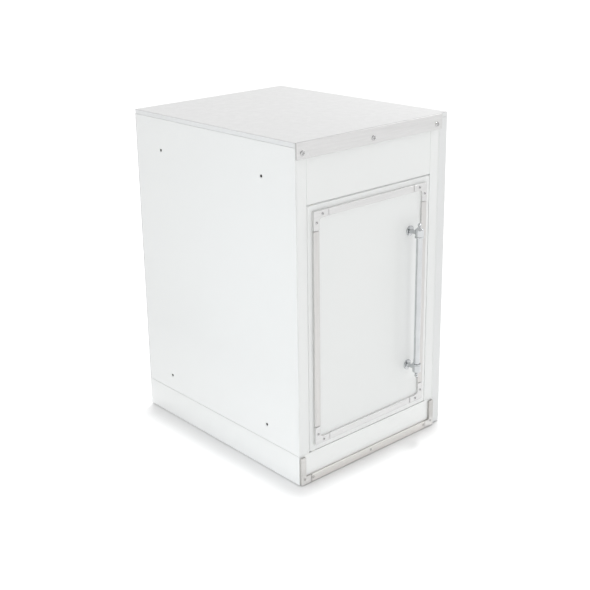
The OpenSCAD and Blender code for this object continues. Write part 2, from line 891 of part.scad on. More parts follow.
// flanged bushes in the door's lower and upper edge
module hinge_bushes() {
    flange_r = bush_r + 1.6;
    color("whitesmoke") place() difference() {
        union() {
            rod_z([hinge_x, hinge_back, plinth_h + fit], flange_r, door_foot_gap - fit);
            rod_z([hinge_x, hinge_back, door_z[0] - eps], bush_r, pin_in);
            rod_z([hinge_x, hinge_back, door_z[1]], flange_r, door_top_gap - 1.2);
            rod_z([hinge_x, hinge_back, door_z[1] - pin_in + eps], bush_r, pin_in);
        }
        rod_z([hinge_x, hinge_back, plinth_h], pin_r + running, body_h);
    }
}

module door_catch() {
    color("dimgray") place()
        box([catch_x, door_d + keeper_t + fit, catch_z],
            [open_x[1], stile_d - 1, catch_z + catch_h]);
}

module catch_keeper() {
    color("silver") place()
        box([catch_x, door_d, catch_z], [door_x[1] - 2, door_d + keeper_t, catch_z + catch_h]);
}

// the switch's near face is switch_y, and its plunger stands out to the door
plunger_x = open_x[1] - switch_size[0] / 2;

module interlock_switch() {
    lo = [open_x[1] - switch_size[0], switch_y, switch_z - switch_size[2] / 2];
    bore_l = door_d + fit + plunger_l - switch_y + 5;
    color("dimgray") place() difference() {
        box(lo, lo + switch_size);
        rod_y([plunger_x, switch_y - 1, switch_z], plunger_r + running, bore_l + 1);
    }
}

module interlock_plunger() {
    color("tomato") place()
        rod_y([plunger_x, door_d + fit, switch_z], plunger_r, plunger_l);
}

// ---- controls ----

rocker_axle = [1.5, 2.5];      // radius, and how far it stands out

module control_box() {
    t = control_wall;
    slot = [rocker_size[0] / 2 + 1, rocker_size[1] / 2 + 1];
    axle_l = 2 * (slot[1] + rocker_axle[1]);
    color("dimgray") place() difference() {
        box(box_lo, box_hi);
        box(box_lo + [t, t, 9], box_hi - [t, t, t]);
        box([rocker_at[0] - slot[0], rocker_at[1] - slot[1], box_lo[2] - 1],
            [rocker_at[0] + slot[0], rocker_at[1] + slot[1], box_lo[2] + 7]);
        rod_y(rocker_at - [0, axle_l / 2, 0], rocker_axle[0] + running, axle_l);
    }
}

// the rocker lies tipped to its off side and turns about its two stub axles
module power_rocker() {
    half = rocker_size / 2;
    axle_l = rocker_size[1] + 2 * rocker_axle[1];
    color("black") place() translate(rocker_at) {
        rotate([0, rocker_tilt, 0]) box([-half[0], -half[1], -rocker_size[2]], half);
        rod_y([0, -axle_l / 2, 0], rocker_axle[0], axle_l);
    }
}

// a recessed inlet with three pins in the back
inlet_pin_in = [16, 6];

module power_inlet() {
    w = inlet_size[0] / 2;
    top = inlet_z + inlet_size[2];
    mouth = [13, 6];
    color("dimgray") place() {
        difference() {
            union() {
                box([inlet_x - w + fit, body_d - inlet_size[1], inlet_z + fit],
                    [inlet_x + w - fit, body_d + eps, top - fit]);
                box([inlet_x - w - 8, body_d, inlet_z - 4], [inlet_x + w + 8, body_d + 1.5, top + 4]);
            }
            box([inlet_x - mouth[0], body_d - inlet_pin_in[0], inlet_z + mouth[1]],
                [inlet_x + mouth[0], body_d + 3, top - mouth[1]]);
        }
        for (x = [-7, 0, 7])
            box([inlet_x + x - 1, body_d - inlet_pin_in[0] - eps, inlet_z + 12],
                [inlet_x + x + 1, body_d - inlet_pin_in[1], inlet_z + 17]);
    }
}

// the tube that carries the wires from the inlet to the control box
module wiring_conduit() {
    low_z = inlet_z + inlet_size[2] - fit;
    y = [box_hi[1] - 14, body_d - 12];
    down_z = box_hi[2] - 20;
    r = conduit_r;
    color("dimgray") place() {
        rod_z([conduit_x, y[1], low_z], r, conduit_z - low_z);
        rod_y([conduit_x, y[0], conduit_z], r, y[1] - y[0]);
        rod_z([conduit_x, y[0], down_z], r, conduit_z - down_z);
        rod_x([box_hi[0], y[0], down_z], r, conduit_x - box_hi[0]);
        for (p = [[y[1], conduit_z], [y[0], conduit_z], [y[0], down_z]])
            translate([conduit_x, p[0], p[1]]) sphere(r = r);
    }
}

// ---- bin ----

module bin() {
    lo = [bin_x, bin_y, bin_z];
    hi = [bin_x + bin_w, bin_y + bin_d, rim_z];
    w = bin_wall;
    color("slategray") place() {
        difference() {
            union() {
                box(lo, hi);
                box([lo[0] - bin_rim, lo[1] - bin_rim, rim_z - w],
                    [hi[0] + bin_rim, hi[1] + bin_rim, rim_z]);
            }
            box([lo[0] + w, lo[1] + w, lo[2] + w], [hi[0] - w, hi[1] - w, rim_z + 1]);
        }
        // two runners under the bin
        for (x = [lo[0] + runner_w, hi[0] - 2 * runner_w])
            box([x, lo[1] + 10, pan_z], [x + runner_w, hi[1] - 10, lo[2] + eps]);
    }
}

module bin_handle() {
    lo = [core_x - bin_grip_w / 2, door_d + 4, rim_z - bin_grip_down - bin_grip_h];
    hi = [core_x + bin_grip_w / 2, bin_y, rim_z - bin_grip_down];
    bar = [12, 5, -1];
    color("dimgray") place() difference() {
        box(lo, hi);
        box(lo + bar, [hi[0] - bar[0], hi[1] + 1, hi[2] + 1]);
    }
}

// ---- ram ----

module ram_plate() {
    color("silver") place() difference() {
        box([ram_x, ram_y, ram_z], [ram_x + ram_w, ram_y + ram_d, ram_z + ram_plate_h]);
        box([ram_x + tube_wall, ram_y + tube_wall, column_z],
            [ram_x + ram_w - tube_wall, ram_y + ram_d - tube_wall, ram_z + ram_plate_h + 1]);
    }
}

// a square column with a gusset on each face
module ram_column() {
    w = [column_w, column_d] / 2;
    t = tube_wall;
    color("silver") place() translate([core_x, screw_back, column_z]) {
        difference() {
            box([-w[0], -w[1], 0], [w[0], w[1], column_h]);
            box([t - w[0], t - w[1], -1], [w[0] - t, w[1] - t, column_h + 1]);
        }
        for (turn = [0, 90, 180, 270]) rotate([0, 0, turn])
            translate([turn % 180 == 0 ? w[0] : w[1], gusset_t / 2, 0]) rotate([90, 0, 0])
                linear_extrude(gusset_t) polygon([[0, 0], [gusset_w, 0], [0, column_h * 0.6]]);
    }
}

module ram_crossbeam() {
    half_d = crossbeam_d / 2;
    x = [rail_x + 3, core_w - rail_x - 3];
    color("silver") place() difference() {
        box([x[0], screw_back - half_d, beam_z], [x[1], screw_back + half_d, beam_z + crossbeam_h]);
        box([x[0] - 1, screw_back - half_d + tube_wall, beam_z + tube_wall],
            [x[1] + 1, screw_back + half_d - tube_wall, beam_z + crossbeam_h - tube_wall]);
        for (s = screw_x) rod_z([s, screw_back, beam_z - 1], screw_r + 2, crossbeam_h + 2);
    }
}

module drive_nuts() {
    half_d = nut_flange_d / 2;
    color("goldenrod") place() for (x = screw_x) difference() {
        union() {
            rod_z([x, screw_back, beam_z - nut_h], nut_r, nut_h);
            box([x - nut_r, screw_back - half_d, beam_z - nut_flange_t],
                [x + nut_r, screw_back + half_d, beam_z]);
        }
        rod_z([x, screw_back, beam_z - nut_h - 1], screw_r + running, nut_h + 2);
    }
}

// ---- drive ----

gearcase_lid = 4;      // what closes the gear case over the end of the shaft

// a sprocket about the origin: a disc less the seats of the chain's rollers
module sprocket(teeth, bore_r) {
    r = pitch_r(teeth);
    difference() {
        cylinder(r = r + roller_r - 0.6, h = sprocket_t);
        for (i = [0 : teeth - 1]) rotate([0, 0, i * 360 / teeth])
            translate([r, 0, -1]) cylinder(r = roller_r + 0.2, h = sprocket_t + 2);
        translate([0, 0, -1]) cylinder(r = bore_r, h = sprocket_t + 2);
    }
}

// a power screw with its sprocket
module power_screw(x) {
    hub_h = 14;
    translate([x, screw_back, 0]) {
        rod_z([0, 0, thread_z[0]], screw_r, thread_z[1] - thread_z[0]);
        rod_z([0, 0, sprocket_z - 8], foot_journal_r, thread_z[0] - sprocket_z + 8 + eps);
        rod_z([0, 0, thread_z[1] - eps], head_journal_r, top_z - 2 - thread_z[1]);
        translate([0, 0, sprocket_z]) sprocket(screw_teeth, foot_journal_r - eps);
        difference() {
            rod_z([0, 0, sprocket_z + sprocket_t - eps], foot_journal_r + 6, hub_h);
            rod_z([0, 0, sprocket_z], foot_journal_r - eps, hub_h + sprocket_t + 1);
        }
    }
}

module left_power_screw() {
    color("silver") place() power_screw(screw_x[0]);
}

module right_power_screw() {
    color("silver") place() power_screw(screw_x[1]);
}

// flanged bearings on the base pan and in the top beam
module screw_bearings() {
    color("goldenrod") place() for (x = screw_x) {
        difference() {
            rod_z([x, screw_back, pan_z], foot_journal_r + bearing_wall, bearing_h);
            rod_z([x, screw_back, pan_z - 1], foot_journal_r + running, bearing_h + 2);
        }
        difference() {
            union() {
                rod_z([x, screw_back, top_beam_z - 2], head_bush_r + 2, 2);
                rod_z([x, screw_back, top_beam_z - eps], head_bush_r, top_beam_h - 0.5);
            }
            rod_z([x, screw_back, top_beam_z - 3], head_journal_r + running, top_beam_h + 4);
        }
    }
}

module motor_gearcase() {
    half = gearcase_r;
    color("dimgray") place() difference() {
        box([motor_x - half, motor_y - half, pan_z],
            [motor_x + half, motor_y + half, pan_z + gearcase_h]);
        rod_z([motor_x, motor_y, pan_z - 1], shaft_r + running, gearcase_h - gearcase_lid + 1);
    }
}

module motor_housing() {
    z = pan_z + gearcase_h;
    color("gray") place() translate([motor_x, motor_y, z]) rotate_extrude() polygon([
        [0, 0], [motor_r, 0], [motor_r, motor_h * 0.85], [motor_r - 8, motor_h * 0.95],
        [motor_r * 0.5, motor_h], [0, motor_h]
    ]);
}

module motor_shaft() {
    color("silver") place() translate([motor_x, motor_y, 0]) {
        rod_z([0, 0, sprocket_z - sprocket_t], shaft_r,
            pan_z + gearcase_h - gearcase_lid - 1 - sprocket_z + sprocket_t);
        translate([0, 0, sprocket_z]) sprocket(motor_teeth, shaft_r - eps);
    }
}

// the normal of the outer tangent from circle a to circle b, anticlockwise
function tangent_angle(a, b) =
    atan2(b[1] - a[1], b[0] - a[0]) - acos((a[2] - b[2]) / norm([b[0] - a[0], b[1] - a[1]]));
function on_rim(c, angle, more) =
    [c[0] + (c[2] + more) * cos(angle), c[1] + (c[2] + more) * sin(angle)];

// the chain's loop, wider than its pitch line by more
module chain_loop(more) {
    n = len(sprockets);
    polygon([
        for (i = [0 : n - 1])
            let (a = sprockets[i], b = sprockets[(i + 1) % n], t = tangent_angle(a, b))
                each [on_rim(a, t, more), on_rim(b, t, more)]
    ]);
    for (c = sprockets) translate([c[0], c[1]]) circle(r = c[2] + more);
}

// two bands of link plates, one each side of the sprockets, and the rollers of the
// straight runs between them
module drive_chain() {
    n = len(sprockets);
    z = [sprocket_z - chain_gap - chain_t, sprocket_z + sprocket_t + chain_gap];
    color("dimgray") place() {
        for (z0 = z) translate([0, 0, z0]) linear_extrude(chain_t) difference() {
            chain_loop(chain_w / 2);
            chain_loop(-chain_w / 2);
        }
        for (i = [0 : n - 1])
            let (a = sprockets[i], b = sprockets[(i + 1) % n], t = tangent_angle(a, b),
                 p = on_rim(a, t, 0), q = on_rim(b, t, 0), d = q - p, l = norm(d),
                 rollers = floor((l - 4 * chain_pitch) / chain_pitch))
                for (k = [0 : rollers])
                    let (s = (l - rollers * chain_pitch) / 2 + k * chain_pitch)
                        rod_z([p[0] + d[0] * s / l, p[1] + d[1] * s / l, z[0] + chain_t / 2],
                            roller_r, z[1] - z[0]);
    }
}

// a nylon shoe on an arm under the base pan bears on the chain's front run
module chain_tensioner() {
    run_y = screw_back - pitch_r(screw_teeth) - chain_w / 2;
    z = sprocket_z - chain_gap - chain_t;
    color("whitesmoke") place() {
        box([core_x - 24, run_y - 12, z], [core_x + 24, run_y, z + sprocket_t + 6]);
        box([core_x - 9, run_y - 14, z], [core_x + 9, run_y - 4, plinth_h]);
    }
}

// a sheet on the plinth's lower flanges closes the chain drive in
module bottom_cover() {
    z = foot_h + plinth_wall;
    color("silver") place()
        box([plinth_wall, sheet_t + fit, z], [core_w - plinth_wall, body_d - plinth_wall, z + 1]);
}

top_plate();
left_side_panel();
right_side_panel();
right_end_panel();
back_panel();
left_stile();
right_stile();
fascia_panel();
toe_panel();
base_frame();
base_pan();
bottom_cover();
feet();
inner_rails();
top_beam();
rear_bulkhead();
top_trim();
toe_trim();
toe_trim_corners();
side_screws();
front_screws();
back_screws();
door_skin();
door_liner();
door_panel();
door_trim_rails();
door_trim_stiles();
door_corner_brackets();
door_trim_screws();
handle_bar();
handle_sleeves();
handle_posts();
handle_rosettes();
handle_screws();
hinge_brackets();
hinge_pins();
hinge_bushes();
door_catch();
catch_keeper();
interlock_switch();
interlock_plunger();
control_box();
power_rocker();
bin();
bin_handle();
ram_plate();
ram_column();
ram_crossbeam();
drive_nuts();
left_power_screw();
right_power_screw();
screw_bearings();
motor_gearcase();
motor_housing();
motor_shaft();
drive_chain();
chain_tensioner();
power_inlet();
wiring_conduit();
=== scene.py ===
import json
import math
import bmesh
import bpy
import numpy as np
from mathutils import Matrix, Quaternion, Vector


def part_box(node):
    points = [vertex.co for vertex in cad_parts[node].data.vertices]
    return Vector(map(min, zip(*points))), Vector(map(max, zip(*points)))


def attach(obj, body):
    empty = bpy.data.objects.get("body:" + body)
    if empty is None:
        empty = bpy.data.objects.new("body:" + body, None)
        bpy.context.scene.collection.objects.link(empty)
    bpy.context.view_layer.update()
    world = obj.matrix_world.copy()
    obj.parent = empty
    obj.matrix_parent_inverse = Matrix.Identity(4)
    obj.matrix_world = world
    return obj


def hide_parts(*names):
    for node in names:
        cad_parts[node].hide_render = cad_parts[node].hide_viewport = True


# The looks of an undercounter trash compactor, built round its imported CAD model. Metres.
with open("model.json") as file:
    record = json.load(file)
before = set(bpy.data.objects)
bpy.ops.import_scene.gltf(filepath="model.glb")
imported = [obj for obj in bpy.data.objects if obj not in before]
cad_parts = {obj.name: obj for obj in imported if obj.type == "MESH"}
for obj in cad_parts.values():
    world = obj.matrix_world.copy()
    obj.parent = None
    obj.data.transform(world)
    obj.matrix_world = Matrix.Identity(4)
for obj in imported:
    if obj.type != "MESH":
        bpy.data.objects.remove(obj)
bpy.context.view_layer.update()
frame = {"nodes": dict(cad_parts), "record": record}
nodes = frame["nodes"]


# shader nodes, for the sky and the materials
def put(tree, kind, values=None, **settings):
    # a new node: values go to its inputs and settings to the node itself
    node = tree.nodes.new("ShaderNode" + kind)
    for key, value in settings.items():
        setattr(node, key, value)
    for key, value in (values or {}).items():
        node.inputs[key].default_value = value
    return node


def wire(source, output, target, socket):
    # links an output of one node to an input of another
    source.id_data.links.new(source.outputs[output], target.inputs[socket])


def mapped(tree, span, values=(0.0, 1.0)):
    # a node that runs from the first of values to the second as its input runs over the span
    sockets = ("From Min", "From Max", "To Min", "To Max")
    return put(tree, "MapRange", dict(zip(sockets, (*span, *values))))


# studio: the camera, the softboxes, the pale room and its floor
studio = {
    "eye": (-1.7945, -1.9997, 1.3527),   # where the camera stands
    "aim": (-0.188, -0.049, 0.555),      # the point it looks at
    "roll": -1.56,                       # degrees, turned about its own line of sight
    "lens": 63.98,                       # millimetres, on a sensor 36 wide
    "shift": (0.073, -0.085),
    "farthest": 200.0,
    "sky": 1.04,                         # how bright the room is at eye level
    "overhead": 0.74,                    # its share overhead
    "overheadReach": (0.3, 0.8),         # sines of the height where it starts and ends to fall
    "sunFrom": (0.06, 0.05, 1.0),        # the ceiling light, far off and nearly overhead
    "sunPower": 1.27,
    "sunSpread": 5.0,                    # degrees across
    "darkFrom": (-0.606, -0.736, 0.30),  # the unlit end of the room, seen only in bright metal
    "darkReach": (0.86, 0.95),           # cosines where it starts and where it is darkest
    "darkSky": 0.06,
    "floorReach": 60.0,
}
# where each hangs, what it faces, its width and height, watts, colour and spread in degrees
softboxes = {
    "leftBox": ((-3.4, 0.4, 1.1), (-0.26, -0.42, 0.38), (1.0, 1.0), 0.75, (0.84, 0.92, 1.0), 32.0),
    "frontBox": ((-0.4, -2.6, 0.9), (0.1, -0.3, 0.05), (2.2, 1.4), 4.0, (1.0, 1.0, 0.99), 180.0),
    "rightBox": ((0.95, -0.3, 1.5), (0.2, -0.15, 0.86), (0.6, 0.6), 3.6, (1.0, 1.0, 1.0), 180.0),
}


def hang(name, data, eye, aim, roll=0.0):
    # an object at eye that points -Z to aim with +Y up, then rolls about that line
    holder = bpy.data.objects.new(name, data)
    look = (Vector(aim) - Vector(eye)).to_track_quat("-Z", "Y")
    holder.location = eye
    holder.rotation_mode = "QUATERNION"
    holder.rotation_quaternion = look @ Quaternion((0.0, 0.0, 1.0), math.radians(roll))
    bpy.context.scene.collection.objects.link(holder)
    return holder


def addCamera():
    # the one camera, with the lens and the shift of the studio
    camera = bpy.data.cameras.new("studioCamera")
    camera.lens = studio["lens"]
    camera.shift_x, camera.shift_y = studio["shift"]
    camera.clip_end = studio["farthest"]
    bpy.context.scene.camera = hang("studioCamera", camera, studio["eye"], studio["aim"],
                                    studio["roll"])


def addLamps():
    # a rectangle of light for each softbox, and the ceiling light as a sun
    for name, (eye, aim, size, watts, color, spread) in softboxes.items():
        lamp = bpy.data.lights.new(name, "AREA")
        lamp.shape = "RECTANGLE"
        lamp.size, lamp.size_y = size
        lamp.energy = watts
        lamp.spread = math.radians(spread)
        lamp.color = color
        hang(name, lamp, eye, aim)
    sun = bpy.data.lights.new("ceilingLight", "SUN")
    sun.energy = studio["sunPower"]
    sun.angle = math.radians(studio["sunSpread"])
    hang("ceilingLight", sun, studio["sunFrom"], (0.0, 0.0, 0.0))


def paintRoom():
    # colour = fall(z) * dark(cosine): z is the height of a direction, and the cosine is between
    # it and darkFrom; fall goes from 1 to overhead and dark from 1 to darkSky over their reaches
    world = bpy.data.worlds.new("paleRoom")
    world.use_nodes = True
    tree = world.node_tree
    sky = tree.nodes["Background"]
    sky.inputs["Strength"].default_value = studio["sky"]
    toward = put(tree, "TexCoord")
    height = put(tree, "SeparateXYZ")
    cosine = put(tree, "VectorMath", {1: Vector(studio["darkFrom"]).normalized()},
                 operation="DOT_PRODUCT")
    fall = mapped(tree, studio["overheadReach"], (1.0, studio["overhead"]))
    dark = mapped(tree, studio["darkReach"], (1.0, studio["darkSky"]))
    both = put(tree, "Math", operation="MULTIPLY")
    wire(toward, "Generated", height, "Vector")
    wire(toward, "Generated", cosine, 0)
    wire(height, "Z", fall, "Value")
    wire(cosine, "Value", dark, "Value")
    wire(fall, "Result", both, 0)
    wire(dark, "Result", both, 1)
    wire(both, "Value", sky, "Color")
    scene = bpy.context.scene
    scene.world = world
    scene.view_settings.view_transform = "Standard"
    scene.view_settings.look = "None"


addCamera()
addLamps()
paintRoom()
print("studio ready")


# materials: every pattern reads Object coordinates, so all sizes below are metres
plainLook = {
    "colors": [(0.8, 0.8, 0.8), (0.8, 0.8, 0.8)],
    "stops": (0.3, 0.7),         # where on the ramp each of the colours is
    "patch": 0.12,               # size of the patches of colour
    "rough": (0.3, 0.4),
    "smear": 0.03,               # size of the duller and brighter spots
    "metal": 0.0,
    "specular": 0.5,
    "coat": 0.0,
    "coatRough": 0.1,
    "grain": None,               # size of the fine texture, one number or one along each axis
    "grainDepth": 0.0,
    "wave": None,                # size of the slow hollows in a sheet
    "waveDepth": 0.0,
    "scratch": None,             # size of the fine scratches along each axis
    "scratchDepth": 0.0,
    "edge": 0.0007,              # how far the sharp edges are rounded
    "fades": (),                 # painted light and shade: axis, where a second colour starts and is reached, that colour
}
noiseDetail = {"patch": 5.0, "smear": 6.0, "wave": 1.0, "grain": 2.0, "scratch": 1.0}
noiseRough = 0.55
noiseSpan = (0.3, 0.7)           # nearly all of the noise lies between these
scratchCrest = [(0.49, 0.0), (0.5, 1.0), (0.51, 0.0)]   # only the thin crests are scratches


def finish(name, **changes):
    # colour is ramp(noise(p / patch)), mixed with the colour of each fade in turn by
    # (place - start) / (end - start), every fade being painted light or painted shade; roughness
    # runs from low to high with noise(p / smear); height adds depth * noise(p / size) for wave,
    # grain and scratch, over rounded edges
    look = {**plainLook, **changes}
    material = bpy.data.materials.new(name)
    material.use_nodes = True
    tree = material.node_tree
    shader = tree.nodes["Principled BSDF"]
    place = put(tree, "TexCoord")

    def noise(kind):
        # noise(p / size), with the size and the detail of that kind
        sizes = tuple(1.0 / np.broadcast_to(look[kind], 3))
        spread = put(tree, "Mapping", {"Scale": sizes})
        cloud = put(tree, "TexNoise",
                    {"Scale": 1.0, "Detail": noiseDetail[kind], "Roughness": noiseRough})
        wire(place, "Object", spread, "Vector")
        wire(spread, "Vector", cloud, "Vector")
        return cloud

    def ramp(source, stops):
        # the colour between the two stops that a value lies between
        node = put(tree, "ValToRGB")
        points = node.color_ramp.elements
        while len(points) < len(stops):
            points.new(0.5)
        for point, (position, color) in zip(points, stops):
            point.position = position
            point.color = (*np.broadcast_to(color, 3), 1.0)
        wire(source, "Fac", node, "Fac")
        return node

    color = ramp(noise("patch"), list(zip(look["stops"], look["colors"])))
    # painted light and shade: each fade mixes a lighter or a darker colour in over a span of one
    # axis
    for axis, start, end, second in look["fades"]:
        parts = put(tree, "SeparateXYZ")
        depth = mapped(tree, (start, end))
        mix = put(tree, "MixRGB", {"Color2": (*second, 1.0)})
        wire(place, "Object", parts, "Vector")
        wire(parts, axis, depth, "Value")
        wire(depth, "Result", mix, "Fac")
        wire(color, "Color", mix, "Color1")
        color = mix
    wire(color, "Color", shader, "Base Color")
    dull = mapped(tree, noiseSpan, look["rough"])
    wire(noise("smear"), "Fac", dull, "Value")
    wire(dull, "Result", shader, "Roughness")
    shader.inputs["Metallic"].default_value = look["metal"]
    shader.inputs["Specular IOR Level"].default_value = look["specular"]
    shader.inputs["Coat Weight"].default_value = look["coat"]
    shader.inputs["Coat Roughness"].default_value = look["coatRough"]
    normal = None
    if look["edge"]:
        normal = put(tree, "Bevel", {"Radius": look["edge"]}, samples=4)
    for kind in ("wave", "grain", "scratch"):
        if look[kind] is None:
            continue
        height = noise(kind)
        if kind == "scratch":
            height = ramp(height, scratchCrest)
        bump = put(tree, "Bump", {"Strength": 1.0, "Distance": look[kind + "Depth"]})
        wire(height, 0, bump, "Height")
        if normal:
            wire(normal, "Normal", bump, "Normal")
        normal = bump
    if normal:
        wire(normal, "Normal", shader, "Normal")
    return material


# what several of the finishes start from
enamel = {
    "colors": [(0.769, 0.780, 0.773), (0.776, 0.787, 0.780)], "patch": 0.3,
    "rough": (0.30, 0.42), "smear": 0.05, "coat": 0.15, "coatRough": 0.12,
    "grain": 0.0016, "grainDepth": 0.000006}
hollows = {"wave": 0.24, "waveDepth": 0.0006}
board = {
    "colors": [(0.70, 0.71, 0.71), (0.72, 0.73, 0.73)], "patch": 0.2,
    "rough": (0.28, 0.40), "coat": 0.1, "grain": 0.0012, "grainDepth": 0.000005}
brushedAlong = {     # brushed from left to right
    "colors": [(0.605, 0.602, 0.60), (0.66, 0.657, 0.655)],
    "patch": (0.09, 0.004, 0.004), "rough": (0.26, 0.40), "metal": 1.0,
    "smear": (0.05, 0.002, 0.002), "grain": (0.03, 0.0002, 0.0002), "grainDepth": 0.000004}
plating = {
    "colors": [(0.54, 0.555, 0.565), (0.60, 0.615, 0.625)], "patch": 0.03,
    "rough": (0.05, 0.12), "metal": 1.0, "smear": 0.008,
    "scratch": (0.0006, 0.0006, 0.02), "scratchDepth": 0.000001}
cutSteel = {"patch": 0.004, "metal": 1.0, "smear": 0.002, "edge": 0.0003}
paintedSidesSpan = ("Y", -0.3010, -0.3002)     # a strip's second colour is on its edges, past its face: painted light where it is lighter, painted shade where it is darker

